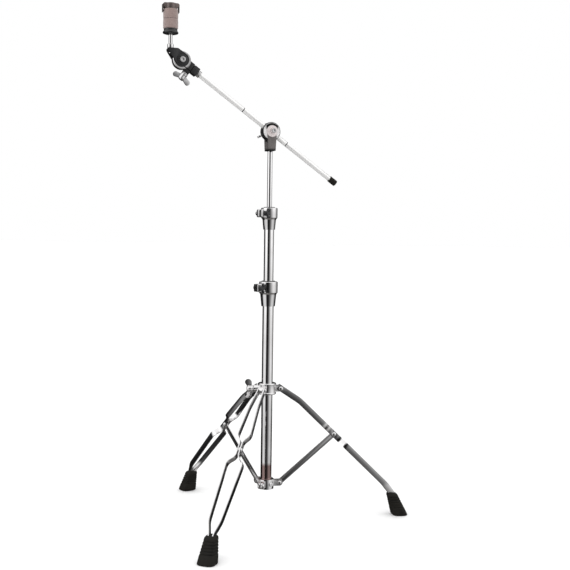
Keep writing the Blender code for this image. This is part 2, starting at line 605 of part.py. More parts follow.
def make_leg(index):
    name = "leg_%d_" % (index + 1)
    stations, ankle, sole, boot_top = leg_path()
    middle = Vector((MID_R, MID_Z))
    frame = leg_frame(index, middle.x, middle.y)
    pivot = Vector((PIVOT_RADIUS, UPPER_PIVOT_Z)) - middle
    lug_side = LUG_HALF_T + RUN_GAP
    brace_side = BRACE_T / 2 + RUN_GAP
    for side, label in ((1, "strip_left"), (-1, "strip_right")):
        bar = to_object(name + label, strip(STRIP_WIDTH, STRIP_T, stations, side, middle), CHROME, frame)
        cut(bar, add(bmesh.new(), across(PIVOT_PIN_R + RUN_GAP, 30 * MM), place(pivot.x, 0, pivot.y)))
        cut(bar, across(PIVOT_PIN_R + FIXED_GAP, 30 * MM))

    strips_out = lug_side + STRIP_T
    pin_frame = leg_frame(index, PIVOT_RADIUS, UPPER_PIVOT_Z) @ turn(pi / 2, "X")
    to_object(name + "top_bolt", headed_pin(strips_out + RUN_GAP), CHROME, pin_frame)
    rivet_frame = frame @ turn(pi / 2, "X")
    to_object(name + "mid_rivet", headed_pin(brace_side + STRIP_T + FIXED_GAP), CHROME, rivet_frame)

    brace_frame = leg_frame(index, PIVOT_RADIUS, LOWER_PIVOT_Z)
    brace = to_object("brace_%d" % (index + 1), brace_shape(), CHROME, brace_frame)
    cut(brace, across(PIVOT_PIN_R + RUN_GAP, 10 * MM))
    cut(brace, add(bmesh.new(), across(PIVOT_PIN_R + RUN_GAP, 10 * MM), place(LINK_REACH, 0, LINK_RISE)))
    cheeks_out = BRACE_T / 2 + RUN_GAP + CHEEK_T
    low_pin = headed_pin(cheeks_out + FIXED_GAP)
    to_object("brace_%d_bolt" % (index + 1), low_pin, CHROME, brace_frame @ turn(pi / 2, "X"))

    boot = to_object(name + "foot", boot_shape(sole, boot_top, middle), RUBBER, frame)
    reach = STRIP_SPREAD_FOOT + STRIP_T
    cut(boot, boot_pocket(boot_top, sole, middle, reach))


def headed_pin(half_grip):
    """A pin along Z with a low domed head at each end."""
    top = half_grip + PIVOT_HEAD_T
    return turned([(0, -top), (PIVOT_HEAD_R * 0.7, -top), (PIVOT_HEAD_R, -half_grip),
                   (PIVOT_PIN_R, -half_grip), (PIVOT_PIN_R, half_grip), (PIVOT_HEAD_R, half_grip),
                   (PIVOT_HEAD_R * 0.7, top), (0, top)], PIN_ROUND)


def brace_shape():
    """A flat bar with round ends, from the lower pivot to the middle joint."""
    slope = atan2(LINK_RISE, LINK_REACH)
    half = BRACE_WIDTH / 2
    outline = arc((0, 0), half, slope + pi / 2, slope + 3 * pi / 2, 8)
    outline += arc((LINK_REACH, LINK_RISE), half, slope - pi / 2, slope + pi / 2, 8)
    return plate(outline, -BRACE_T / 2, BRACE_T / 2)


def boot_shape(sole, boot_top, origin):
    """A tapered rubber boot that leans in, with a rounded top and a flat sole."""
    bm = bmesh.new()
    levels = [(0.0, 1.0), (0.2, 1.0), (0.9, 1.0), (1.0, 0.7)]
    sides = 20
    loops = []
    for height, fill in levels:
        taper = min(1.0, max(0.0, (height - 0.22) / 0.78))
        along_r = (FOOT_SOLE_HALF[0] * (1 - taper) + FOOT_TOP_HALF[0] * taper) * fill
        along_y = (FOOT_SOLE_HALF[1] * (1 - taper) + FOOT_TOP_HALF[1] * taper) * fill
        center = sole + (boot_top - sole) * height
        loop = []
        for side in range(sides):
            angle = 2 * pi * (side + 0.5) / sides
            power = 0.6
            x = abs(cos(angle)) ** power * (1 if cos(angle) > 0 else -1) * along_r
            y = abs(sin(angle)) ** power * (1 if sin(angle) > 0 else -1) * along_y
            loop.append(bm.verts.new((center.x - origin.x + x, y, center.y - origin.y)))
        loops.append(loop)
    for first, second in zip(loops, loops[1:]):
        for side in range(sides):
            after = (side + 1) % sides
            bm.faces.new((first[side], first[after], second[after], second[side]))
    bm.faces.new(loops[0][::-1])
    bm.faces.new(loops[-1])
    return bm


def boot_pocket(boot_top, sole, origin, reach):
    """The slot in a boot that the two strips go into."""
    into = (sole - boot_top).normalized()
    out = Vector((-into.y, into.x))
    half = STRIP_WIDTH / 2 + BOOT_SLACK
    corners = []
    mouth = half * 1.5
    for depth, side in ((-half * 2, -mouth), (-half * 2, mouth), (half, half),
                        (FOOT_BITE + 2 * FIXED_GAP, half), (FOOT_BITE + 2 * FIXED_GAP, -half),
                        (half, -half)):
        spot = boot_top + into * depth + out * side - origin
        corners.append((spot.x, spot.y))
    width = reach + STRIP_T / 2 + BOOT_SLACK
    return plate(corners, -width, width)


# ---------------------------------------------------------------- boom clamp and boom

TILT_Z = YOKE_BOTTOM + TILT_HEIGHT
YAW = turn(BOOM_YAW, "Z")
TILT_FRAME = place(0, 0, TILT_Z) @ YAW
BOOM_FRAME = TILT_FRAME @ turn(BOOM_SLOPE, "Y")     # +X runs down to the end cap
FRONT = turn(pi / 2, "X")                            # lays +Z along -Y, the side of the pivot screw
BACK = turn(-pi / 2, "X")


def make_yoke():
    """Fork on top of the rod, with a flat cheek on each side of the drum."""
    inner = DRUM_HALF_T + RUN_GAP
    outer = inner + CHEEK_PLATE_T
    low = -TILT_HEIGHT
    base_top = low + YOKE_BASE_HEIGHT
    yoke = to_object("boom_yoke", block((-CHEEK_FOOT_HALF_W, -outer, low),
                                        (CHEEK_FOOT_HALF_W, outer, base_top), EDGE), GREY, TILT_FRAME)
    for side in (1, -1):
        near, far = sorted((side * inner, side * outer))
        outline = [(-CHEEK_FOOT_HALF_W, low + 2 * MM), (CHEEK_FOOT_HALF_W, low + 2 * MM),
                   (CHEEK_PLATE_HALF_W, -6 * MM)]
        start = acos(CHEEK_PLATE_HALF_W / YOKE_TOP) * 0.75
        outline += arc((0, 0), YOKE_TOP, start, pi - start, 8)
        outline += [(-CHEEK_PLATE_HALF_W, -6 * MM)]
        join(yoke, plate(outline, near, far))
    cut(yoke, rod(ROD_R + FIXED_GAP, low - 5 * MM, low + ROD_IN_YOKE + FIXED_GAP))
    cut(yoke, across(TILT_PIN_R + RUN_GAP, 30 * MM))
    return inner, outer


def make_boom_clamp():
    inner, outer = make_yoke()
    drum = to_object("boom_drum", add(bmesh.new(), turned(
        [(0, -DRUM_HALF_T), (DRUM_R - EDGE, -DRUM_HALF_T), (DRUM_R, -DRUM_HALF_T + EDGE),
         (DRUM_R, DRUM_HALF_T - EDGE), (DRUM_R - EDGE, DRUM_HALF_T), (0, DRUM_HALF_T)]), FRONT),
        CHROME, BOOM_FRAME)
    bore = BOOM_R + RUN_GAP
    cut(drum, add(bmesh.new(), rod(bore, -DRUM_R - 5 * MM, DRUM_R + 5 * MM, steps=20), turn(pi / 2, "Y")))
    pin_in = bore + 2.0 * MM
    pin_hole = TILT_PIN_R + RUN_GAP
    cut(drum, add(bmesh.new(), rod(pin_hole, pin_in - FIXED_GAP, DRUM_HALF_T + 5 * MM), FRONT))
    cut(drum, add(bmesh.new(), rod(pin_hole, 0, DRUM_HALF_T + 5 * MM), BACK))

    head = outer + FIXED_GAP
    head_top = head + TILT_HEAD_T
    screw = turned([(0, pin_in), (TILT_PIN_R, pin_in), (TILT_PIN_R, head), (TILT_HEAD_R, head),
                    (TILT_HEAD_R, head_top - EDGE), (TILT_HEAD_R - EDGE, head_top), (RECESS_R, head_top),
                    (RECESS_R, head_top - RECESS_DEPTH), (0, head_top - RECESS_DEPTH)], SMALL_ROUND)
    to_object("boom_pivot_screw", screw, CHROME, TILT_FRAME @ FRONT)

    seat = outer + RUN_GAP + 0.6 * MM
    bolt_frame = TILT_FRAME @ BACK @ place(0, 0, seat) @ turn(TILT_BOLT_TURN, "Z")
    bolt = winged("boom_wing_bolt", CHROME, bolt_frame, TILT_BOLT_HUB, TILT_WINGS)
    join(bolt, rod(TILT_PIN_R, bore + RUN_GAP - seat, 4 * MM, SMALL_EDGE / 2))


def boom_piece(bm):
    """Lay a shape made along Z on the boom, +Z towards the tilter."""
    return add(bmesh.new(), bm, turn(-pi / 2, "Y"))


def make_boom():
    tube_end = BOOM_TILTER_REACH - BAND_EAR_TO - (SOCKET_LENGTH - BOOM_IN_SOCKET)
    tube_start = -(BOOM_CAP_REACH + END_CAP_LENGTH - END_CAP_FLOOR)
    inner = BOOM_R - BOOM_WALL
    profile = [(inner, tube_start), (BOOM_R, tube_start)]
    for mark in sorted(BOOM_MARKS):
        low, high = mark - BOOM_MARK_WIDTH / 2, mark + BOOM_MARK_WIDTH / 2
        profile += [(BOOM_R, low), (BOOM_R - BOOM_MARK_DEPTH, low), (BOOM_R - BOOM_MARK_DEPTH, high),
                    (BOOM_R, high)]
    profile += [(BOOM_R, tube_end), (inner, tube_end)]
    to_object("boom_arm", boom_piece(turned(profile, 20)), CHROME, BOOM_FRAME)

    cap_from = -BOOM_CAP_REACH
    cap_to = -(BOOM_CAP_REACH + END_CAP_LENGTH)
    bore = BOOM_R + FIXED_GAP
    cap = turned([(0, cap_to), (END_CAP_R - 2 * MM, cap_to), (END_CAP_R, cap_to + 2 * MM),
                  (END_CAP_R, cap_from - 1 * MM), (END_CAP_R - 1 * MM, cap_from), (bore, cap_from),
                  (bore, tube_start - FIXED_GAP), (0, tube_start - FIXED_GAP)], 20)
    to_object("boom_end_cap", boom_piece(cap), RUBBER, BOOM_FRAME)


def make_tilter_clamp():
    """Chrome band that grips the tilter, its boom socket and the nut that locks the boom."""
    hub = BOOM_FRAME @ place(-BOOM_TILTER_REACH, 0, 0)      # +X of this frame runs back to the boom
    band = to_object("tilter_band", add(bmesh.new(), ring(BAND_BORE_R + RUN_GAP, BAND_R, -BAND_HALF_T,
                                                           BAND_HALF_T, 1.2 * MM), FRONT), CHROME, hub)
    inside = BAND_BORE_R + 3 * MM
    join(band, block((inside, -BAND_HALF_T + 1 * MM, -BAND_EAR_DEPTH),
                     (BAND_EAR_TO, BAND_HALF_T - 1 * MM, BAND_EAR_DEPTH * 0.62), 1.5 * MM))
    cut(band, add(bmesh.new(), rod(BAND_BORE_R + RUN_GAP, -30 * MM, 30 * MM, steps=ROUND), FRONT))
    cut(band, block((BAND_BORE_R * 0.5, -20 * MM, -BAND_SLOT - 8 * MM),
                    (BAND_EAR_TO - 2 * MM, 20 * MM, -8 * MM)))
    cut(band, add(bmesh.new(), rod(CLAMP_BOLT_R + RUN_GAP, -40 * MM, BAND_EAR_DEPTH * 0.3),
                  place(BAND_BOLT_AT, 0, 0)))

    socket_from = BAND_EAR_TO + FIXED_GAP
    socket_to = socket_from + SOCKET_LENGTH
    socket = to_object("boom_socket", block((socket_from, -SOCKET_HALF, -SOCKET_HALF),
                                            (socket_to, SOCKET_HALF, SOCKET_HALF), EDGE), BLACK, hub)
    tube_end = BAND_EAR_TO + SOCKET_LENGTH - BOOM_IN_SOCKET
    cut(socket, add(bmesh.new(), rod(BOOM_R + FIXED_GAP, tube_end - FIXED_GAP, socket_to + 5 * MM,
                                     steps=20), turn(pi / 2, "Y")))
    nut_from = socket_to + FIXED_GAP
    nut = rod(LOCK_NUT_R, nut_from, nut_from + LOCK_NUT_T, SMALL_EDGE, 6)
    lock = to_object("boom_lock_nut", add(bmesh.new(), nut, turn(pi / 2, "Y")), CHROME, hub)
    cut(lock, add(bmesh.new(), rod(BOOM_R + FIXED_GAP, nut_from - 5 * MM, nut_from + 15 * MM, steps=24),
                  turn(pi / 2, "Y")))

    below = hub @ place(BAND_BOLT_AT, 0, -BAND_EAR_DEPTH) @ turn(pi, "X")     # +Z away from the ear
    washer = ring(CLAMP_BOLT_R + RUN_GAP, WASHER_R, FIXED_GAP, FIXED_GAP + WASHER_T, SMALL_EDGE, SMALL_ROUND)
    to_object("tilter_washer", washer, CHROME, below)
    hub_at = WASHER_T + 2 * FIXED_GAP + RUN_GAP
    bolt_frame = below @ place(0, 0, hub_at)
    bolt = winged("tilter_wing_bolt", CHROME, bolt_frame, BAND_BOLT_HUB, BAND_WINGS)
    join(bolt, rod(CLAMP_BOLT_R, -(hub_at + BAND_EAR_DEPTH + 1 * MM), 4 * MM, SMALL_EDGE / 2))


# ---------------------------------------------------------------- tilter and cymbal seat

TILTER_CENTER = TILT_FRAME @ turn(BOOM_SLOPE, "Y") @ Vector((-BOOM_TILTER_REACH, 0, 0))
TILTER_FRAME = Matrix.Translation(TILTER_CENTER) @ YAW
ROD_FRAME = TILTER_FRAME @ place(-ARM_SETBACK, 0, ARM_RISE)


def make_tilter():
    """Teardrop body that turns in the band, and carries the cymbal rod on its arm."""
    hub_half = BAND_HALF_T + RUN_GAP
    plate_out = hub_half + TILTER_PLATE_T
    body = to_object("tilter_body", across(BAND_BORE_R, plate_out - MM, ROUND), BLACK, TILTER_FRAME)
    arm = Vector((-ARM_SETBACK, ARM_RISE))
    length = arm.length
    tip = arm * ((length - 3 * MM) / length)
    lean = atan2(arm.y, arm.x)
    near = acos((CHEEK_DISC_R - ARM_HALF_W) / length)
    outline = arc((0, 0), CHEEK_DISC_R, lean + near, lean - near + 2 * pi, 14)
    outline += arc((tip.x, tip.y), ARM_HALF_W, lean - near, lean + near, 6)
    for side in (1, -1):
        low, high = sorted((side * hub_half, side * plate_out))
        join(body, plate(outline, low, high))
    start = BAND_R + RUN_GAP + 1 * MM
    side_way = Vector((-arm.y, arm.x)).normalized()
    first = arm.normalized() * start
    corners = [first + side_way * ARM_HALF_W, first - side_way * ARM_HALF_W,
               tip - side_way * ARM_HALF_W]
    bridge = [(point.x, point.y) for point in corners]
    bridge += arc((tip.x, tip.y), ARM_HALF_W, lean - pi / 2, lean + pi / 2, 6)[1:]
    join(body, plate(bridge[::-1], -plate_out + 0.5 * MM, plate_out - 0.5 * MM))
    flat_top = ARM_RISE
    cut(body, block((-ARM_SETBACK - 30 * MM, -30 * MM, flat_top), (5 * MM, 30 * MM, flat_top + 30 * MM)))
    thread_hole = rod(SEAT_THREAD_R + FIXED_GAP, -(SEAT_THREAD_DEPTH + 2 * MM), 5 * MM)
    cut(body, add(bmesh.new(), thread_hole, place(-ARM_SETBACK, 0, ARM_RISE)))
    cut(body, across(CLAMP_BOLT_R + FIXED_GAP, 40 * MM))

    head = plate_out + FIXED_GAP
    head_top = head + AXLE_HEAD_T
    tail = -(head + AXLE_TAIL_T)
    recess = head_top - RECESS_DEPTH
    axle = turned([(0, tail), (AXLE_TAIL_R, tail), (AXLE_TAIL_R, -head), (CLAMP_BOLT_R, -head),
                   (CLAMP_BOLT_R, head), (AXLE_HEAD_R, head), (AXLE_HEAD_R, head_top - EDGE),
                   (AXLE_HEAD_R - EDGE, head_top), (RECESS_R, head_top), (RECESS_R, recess), (0, recess)],
                  SMALL_ROUND)
    to_object("tilter_axle", axle, CHROME, TILTER_FRAME @ FRONT)


def make_seat():
    """The cymbal rod with its cup, sleeve, two felts and quick-release nut."""
    cup_low = SEAT_ROD_HEIGHT
    cup_top = cup_low + CUP_HEIGHT
    felt_low = (cup_top + RUN_GAP, cup_top + 2 * RUN_GAP + FELT_HEIGHT)
    felts_top = felt_low[1] + FELT_HEIGHT
    thread_top = felts_top + RUN_GAP + QUICK_NUT_HEIGHT * 0.7
    rod_shape = turned([(0, -SEAT_THREAD_DEPTH), (SEAT_THREAD_R, -SEAT_THREAD_DEPTH),
                        (SEAT_THREAD_R, FIXED_GAP), (SEAT_ROD_R, FIXED_GAP),
                        (SEAT_ROD_R, cup_low - FIXED_GAP), (SEAT_THREAD_R, cup_low - FIXED_GAP),
                        (SEAT_THREAD_R, thread_top - 1 * MM),
                        (SEAT_THREAD_R - 1 * MM, thread_top), (0, thread_top)], SMALL_ROUND)
    to_object("cymbal_rod", rod_shape, CHROME, ROD_FRAME)
    to_object("rod_lock_nut", ring(SEAT_ROD_R + FIXED_GAP, COLLAR_NUT_R, FIXED_GAP,
                                   FIXED_GAP + COLLAR_NUT_HEIGHT, 1.2 * MM, SMALL_ROUND), CHROME, ROD_FRAME)
    bore = SEAT_THREAD_R + FIXED_GAP
    flange_low = cup_low + 2 * EDGE
    flange_high = flange_low + CUP_FLANGE_T
    cup = turned([(bore, cup_low), (CUP_FOOT_R, cup_low), (CUP_FLANGE_R - SMALL_EDGE, cup_low + EDGE),
                  (CUP_FLANGE_R, flange_low), (CUP_FLANGE_R - SMALL_EDGE, flange_high),
                  (CUP_TOP_R, flange_high + CUP_FLANGE_T), (CUP_TOP_R, cup_top - SMALL_EDGE),
                  (CUP_TOP_R - SMALL_EDGE, cup_top), (bore, cup_top)], 24)
    to_object("seat_cup", cup, BLACK, ROD_FRAME)
    sleeve_top = felts_top - 4 * MM
    to_object("seat_sleeve", ring(bore, SLEEVE_R, cup_top + FIXED_GAP, sleeve_top, 0.5 * MM, SMALL_ROUND),
              NYLON, ROD_FRAME)
    for name, low in zip(("lower_felt", "upper_felt"), felt_low):
        felt = ring(SLEEVE_R + RUN_GAP, FELT_R, low, low + FELT_HEIGHT, EDGE, 24)
        to_object(name, felt, FELT, ROD_FRAME)

    nut_low = felts_top + RUN_GAP
    nut_top = nut_low + QUICK_NUT_HEIGHT
    nut = to_object("quick_release_nut", rod(QUICK_NUT_R, nut_low, nut_top, EDGE, 20), GREY, ROD_FRAME)
    half = QUICK_NUT_HALF_SPAN
    tip = 5.2 * MM
    bar = [(-half + tip, nut_low + 1.2 * MM), (half - tip, nut_low + 1.2 * MM)]
    bar += arc((half - tip, nut_top - tip), tip, 0, pi / 2, 4)
    bar += arc((-half + tip, nut_top - tip), tip, pi / 2, pi, 4)
    join(nut, plate(bar, -8 * MM, 8 * MM))
    for side in (1, -1):
        lobe_in = FELT_R + 2 * RUN_GAP
        lobe = block((lobe_in, -QUICK_LOBE_HALF_W, nut_low - QUICK_NUT_DROP),
                     (half, QUICK_LOBE_HALF_W, nut_top - 3 * MM), SMALL_EDGE / 2)
        if side < 0:
            bmesh.ops.transform(lobe, matrix=turn(pi, "Z"), verts=lobe.verts)
        join(nut, lobe)
    cut(nut, rod(SEAT_THREAD_R + RUN_GAP, nut_low - 5 * MM, thread_top + 1 * MM))


# ---------------------------------------------------------------- the whole stand

def centre_footprint():
    """Move the stand so that the middle of the bottom of its box is the origin."""
    bpy.context.view_layer.update()
    depsgraph = bpy.context.evaluated_depsgraph_get()
    low = Vector((1e9, 1e9, 1e9))
    high = -low
    for piece in bpy.data.objects:
        if piece.type != "MESH" or piece.hide_render:
            continue
        shape = piece.evaluated_get(depsgraph).to_mesh()
        for vert in shape.vertices:
            spot = piece.matrix_world @ vert.co
            low = Vector(min(a, b) for a, b in zip(low, spot))
            high = Vector(max(a, b) for a, b in zip(high, spot))
        piece.evaluated_get(depsgraph).to_mesh_clear()
    stand.location = (-(low.x + high.x) / 2, -(low.y + high.y) / 2, -low.z)
    bpy.context.view_layer.update()


make_tubes()
make_clamp(0, ("base_clamp", "base_clamp_bush", "base_clamp_bolt", "base_clamp_wing_nut"))
make_clamp(1, ("mid_clamp", "mid_clamp_bush", "mid_clamp_bolt", "mid_clamp_wing_nut"))
make_lower_collar()
make_leg_collar()
for leg in range(LEG_COUNT):
    make_leg(leg)
make_boom_clamp()
make_boom()
make_tilter_clamp()
make_tilter()
make_seat()
centre_footprint()
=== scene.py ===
# A chrome boom cymbal stand: the looks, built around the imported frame. Metres, +Z up.
import json
from math import acos, asin, atan2, cos, pi, radians, sin

import bmesh
import bpy
from mathutils import Matrix, Vector


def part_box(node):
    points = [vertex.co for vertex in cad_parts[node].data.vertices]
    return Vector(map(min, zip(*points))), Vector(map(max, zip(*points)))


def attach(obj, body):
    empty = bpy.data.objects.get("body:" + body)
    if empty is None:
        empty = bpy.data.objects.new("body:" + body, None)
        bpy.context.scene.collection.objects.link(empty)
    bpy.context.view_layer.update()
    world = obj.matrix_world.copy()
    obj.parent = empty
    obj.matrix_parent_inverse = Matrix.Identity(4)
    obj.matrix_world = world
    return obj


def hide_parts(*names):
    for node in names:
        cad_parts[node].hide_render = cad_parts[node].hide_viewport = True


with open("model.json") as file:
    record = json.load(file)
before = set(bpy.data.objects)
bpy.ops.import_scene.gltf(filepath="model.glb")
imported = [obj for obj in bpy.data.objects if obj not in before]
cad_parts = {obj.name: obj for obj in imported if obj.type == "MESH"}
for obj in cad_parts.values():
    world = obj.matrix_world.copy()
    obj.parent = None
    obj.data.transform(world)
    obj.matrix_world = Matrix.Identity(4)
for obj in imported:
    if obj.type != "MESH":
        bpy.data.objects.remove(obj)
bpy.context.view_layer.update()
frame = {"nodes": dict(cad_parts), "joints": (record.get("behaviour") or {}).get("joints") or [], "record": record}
joints = {joint["name"]: joint for joint in frame["joints"]}
mm = 0.001
fixedGap = 0.3 * mm  # between pieces that are fastened together
runGap = 0.4 * mm  # between pieces that move on each other
fine = 96  # sides of a large turned piece
small = 48
print("stage: frame loaded,", len(frame["nodes"]), "CAD nodes")


def turn(angle, axis):
    return Matrix.Rotation(angle, 4, axis)


def place(x=0.0, y=0.0, z=0.0):
    return Matrix.Translation((x, y, z))


def inMm(**sizes):  # lengths, or tuples of lengths, given in millimetres
    return {name: tuple(part * mm for part in size) if isinstance(size, tuple) else size * mm
            for name, size in sizes.items()}


def jointAt(name):
    return Vector(joints[name]["pos_m"])


tubeLow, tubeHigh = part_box("base_tube")
column = Vector(((tubeLow.x + tubeHigh.x) / 2, (tubeLow.y + tubeHigh.y) / 2, 0))
columnFrame = Matrix.Translation(column)
faceAxis = Vector(joints["boom_tilt"]["axis"])  # out of the drum, towards the pivot screw
boomUp = Vector(joints["boom_slide"]["axis"])  # along the boom, up to the tilter
boomYaw = atan2(faceAxis.x, -faceAxis.y)
boomSlope = asin(boomUp.z)
tiltFrame = Matrix.Translation(jointAt("boom_tilt")) @ turn(boomYaw, "Z")
boomFrame = tiltFrame @ turn(boomSlope, "Y")  # +X runs down to the end cap
tilterFrame = Matrix.Translation(jointAt("tilter_turn")) @ turn(boomYaw, "Z")
hubFrame = tilterFrame @ turn(boomSlope, "Y")  # +X runs back along the boom
shoulderLow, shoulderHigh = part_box("rod_lock_nut")
seatMiddle = (shoulderLow + shoulderHigh) / 2
rodFrame = place(seatMiddle.x, seatMiddle.y, shoulderLow.z) @ turn(boomYaw, "Z")
front = turn(pi / 2, "X")  # lays +Z along -Y
back = turn(-pi / 2, "X")
outward = turn(pi / 2, "Y")  # lays +Z along +X
legPivots = ["legs_fold", "brace_2_turn", "brace_3_turn"]
pivotRadius = (jointAt("legs_fold") - column).xy.length
lowerPivotZ = jointAt("legs_fold").z
upperPivotZ = jointAt("leg_collar_rise").z
middleRadius = (jointAt("leg_1_turn") - column).xy.length
middleZ = jointAt("leg_1_turn").z


# X outward along the leg, Y across it
def legFrame(index, r=0.0, z=0.0):
    out = jointAt(legPivots[index]) - column
    return columnFrame @ turn(atan2(out.y, out.x), "Z") @ place(r, 0, z)


# One socket, so that shader maths reads as an expression
class Wire:
    def __init__(self, tree, socket):
        self.tree = tree
        self.socket = socket

    def __add__(self, other): return self.tree.math("ADD", self, other)
    def __radd__(self, other): return self.tree.math("ADD", other, self)
    def __sub__(self, other): return self.tree.math("SUBTRACT", self, other)
    def __rsub__(self, other): return self.tree.math("SUBTRACT", other, self)
    def __mul__(self, other): return self.tree.math("MULTIPLY", self, other)
    def __rmul__(self, other): return self.tree.math("MULTIPLY", other, self)


class Tree:
    def __init__(self, nodes, links):
        self.nodes = nodes
        self.links = links

    def node(self, kind, settings=None, values=None, output=0):
        made = self.nodes.new(kind)
        for name, value in (settings or {}).items():
            if name == "stops":
                self.setStops(made.color_ramp, value)
            else:
                setattr(made, name, value)
        for name, value in (values or {}).items():
            if isinstance(value, Wire):
                self.links.new(value.socket, made.inputs[name])
            else:
                made.inputs[name].default_value = value
        return Wire(self, made.outputs[output]) if made.outputs else made

    def math(self, operation, *values):
        return self.node("ShaderNodeMath", {"operation": operation}, dict(enumerate(values)))

    def setStops(self, ramp, stops):
        ramp.interpolation = "LINEAR"
        while len(ramp.elements) < len(stops):
            ramp.elements.new(0.5)
        for element, (position, shade) in zip(ramp.elements, stops):
            element.position = position
            element.color = (shade, shade, shade, 1) if isinstance(shade, float) else (*shade, 1)

    def noise(self, at, scale, detail=4.0, roughness=0.55):
        return self.node("ShaderNodeTexNoise", {"noise_dimensions": "3D"},
                         {"Vector": at, "Scale": scale, "Detail": detail, "Roughness": roughness})

    def stretched(self, at, scale):
        return self.node("ShaderNodeMapping", {"vector_type": "POINT"}, {"Vector": at, "Scale": scale})

    def mixed(self, mask, low, high, blend="MIX"):
        ends = {slot: end if isinstance(end, Wire) else (*end, 1) for slot, end in ((6, low), (7, high))}
        return self.node("ShaderNodeMix", {"data_type": "RGBA", "blend_type": blend}, {0: mask, **ends}, output=2)

    def ranged(self, value, start, end, low=0.0, high=1.0):
        return self.node("ShaderNodeMapRange", {"clamp": True},
                         {"Value": value, "From Min": start, "From Max": end, "To Min": low, "To Max": high})

    def spread(self, value, low, high):  # a noise mostly lies between 0.3 and 0.7
        return self.ranged(value, 0.3, 0.7, low, high)

    def apart(self, vector):
        first = self.node("ShaderNodeSeparateXYZ", {}, {0: vector})
        return [Wire(self, socket) for socket in first.socket.node.outputs]

    def bump(self, height, strength, distance):
        return self.node("ShaderNodeBump", {}, {"Height": height, "Strength": strength,
                                                "Distance": distance})


def startMaterial(name):
    made = bpy.data.materials.new(name)
    made.use_nodes = True
    made.node_tree.nodes.clear()
    tree = Tree(made.node_tree.nodes, made.node_tree.links)
    at = tree.node("ShaderNodeTexCoord", output=3)  # Object coordinates
    return made, tree, at


def finishMaterial(tree, color, metallic, rough, normal, others=None):
    values = {"Base Color": color, "Metallic": metallic, "Roughness": rough, "Normal": normal,
              **(others or {})}
    shader = tree.node("ShaderNodeBsdfPrincipled", {}, {name: value for name, value in values.items()
                                                        if value is not None})
    tree.node("ShaderNodeOutputMaterial", {}, {"Surface": shader})


chromeLook = {"tint": (0.84, 0.835, 0.84), "stain": (0.60, 0.57, 0.56), "polish": 0.035, "smudge": 0.13,
              "smudgeScale": 42.0, "scratchScale": (900.0, 900.0, 60.0), "pitScale": 650.0, "metal": 1.0}


satinLook = {"tint": (0.95, 0.945, 0.94), "stain": (0.84, 0.83, 0.82), "polish": 0.22, "smudge": 0.38,
             "smudgeScale": 60.0, "pitScale": 500.0, "metal": 0.45}


# 1 within a radius of an axis line, and 0 outside
def nearAxis(tree, at, middle, axis, radius):
    offset = tree.node("ShaderNodeVectorMath", {"operation": "SUBTRACT"}, {0: at, 1: tuple(middle)})
    crossed = tree.node("ShaderNodeVectorMath", {"operation": "CROSS_PRODUCT"}, {0: offset, 1: tuple(axis)})
    length = tree.node("ShaderNodeVectorMath", {"operation": "LENGTH"}, {0: crossed}, output=1)
    return tree.ranged(length, radius + 0.3 * mm, radius - 0.3 * mm)


# Inside a radius and outside it: colour, metal and roughness
def makeTwoTone(name, middle, axis, radius, inside, outside):
    made, tree, at = startMaterial(name)
    smudge = tree.noise(at, 70.0)
    grain = tree.noise(at, 1200.0, 3.0)
    mask = nearAxis(tree, at, middle, axis, radius)
    plated = tree.mixed(tree.spread(smudge, 0.0, 0.5), inside[0], tuple(0.8 * value for value in inside[0]))
    color = tree.mixed(mask, outside[0], plated)
    metal = mask * (inside[1] - outside[1]) + outside[1]
    rough = mask * (inside[2] - outside[2]) + outside[2] + smudge * 0.06
    finishMaterial(tree, color, metal, rough, tree.bump(grain, 0.12, 0.0001))
    return made


# The tube's polished chrome, darker, browner and rougher towards its foot
def makeFootedChrome():
    made, tree, at = startMaterial("footedChrome")
    smudge = tree.noise(at, chromeLook["smudgeScale"])
    scratch = tree.noise(tree.stretched(at, chromeLook["scratchScale"]), 1.0, 2.0)
    foot = tubeLow.z + 62 * mm
    aboveFoot = tree.ranged(tree.apart(at)[2] + smudge * (8 * mm), foot, foot + 10 * mm)
    wearAndPaintedHighlight = tree.mixed(tree.spread(smudge, 0.0, 0.35), chromeLook["tint"], chromeLook["stain"])
    # darker and browner towards the foot of the tube, below a wavy line
    color = tree.mixed(aboveFoot, (0.30, 0.21, 0.20), wearAndPaintedHighlight)
    rough = tree.spread(smudge * 0.8 + scratch * 0.2, chromeLook["polish"], chromeLook["smudge"])
    finishMaterial(tree, color, 1.0, rough - aboveFoot * 0.06 + 0.06, tree.bump(scratch, 0.05, 0.0001))
    return made


# Pale brushed plate with painted shade, a near-black ring, in each groove of the boom
def makeMarkedSatin():
    made, tree, at = startMaterial("markedSatin")
    smudge = tree.noise(at, satinLook["smudgeScale"])
    pits = tree.noise(at, satinLook["pitScale"], 1.0)
    along = tree.node("ShaderNodeVectorMath", {"operation": "DOT_PRODUCT"},
                      {0: at, 1: tuple(boomUp)}, output=1) - jointAt("boom_tilt").dot(boomUp)
    paintedGrooveShade = 0.0
    for mark in boom["marks"]:
        gap = tree.math("ABSOLUTE", along - mark)
        paintedGrooveShade = tree.math("LESS_THAN", gap, boom["markWidth"] / 2 + 0.35 * mm) + paintedGrooveShade
    plate = tree.mixed(tree.spread(smudge, 0.0, 0.5), satinLook["tint"], satinLook["stain"])
    # painted shade: each groove, and a sliver either side of it, is coloured near black
    color = tree.mixed(paintedGrooveShade, plate, (0.03, 0.03, 0.03))
    finishMaterial(tree, color, satinLook["metal"], tree.spread(smudge, satinLook["polish"], satinLook["smudge"]),
                   tree.bump(pits, 0.05, 0.0001))
    return made
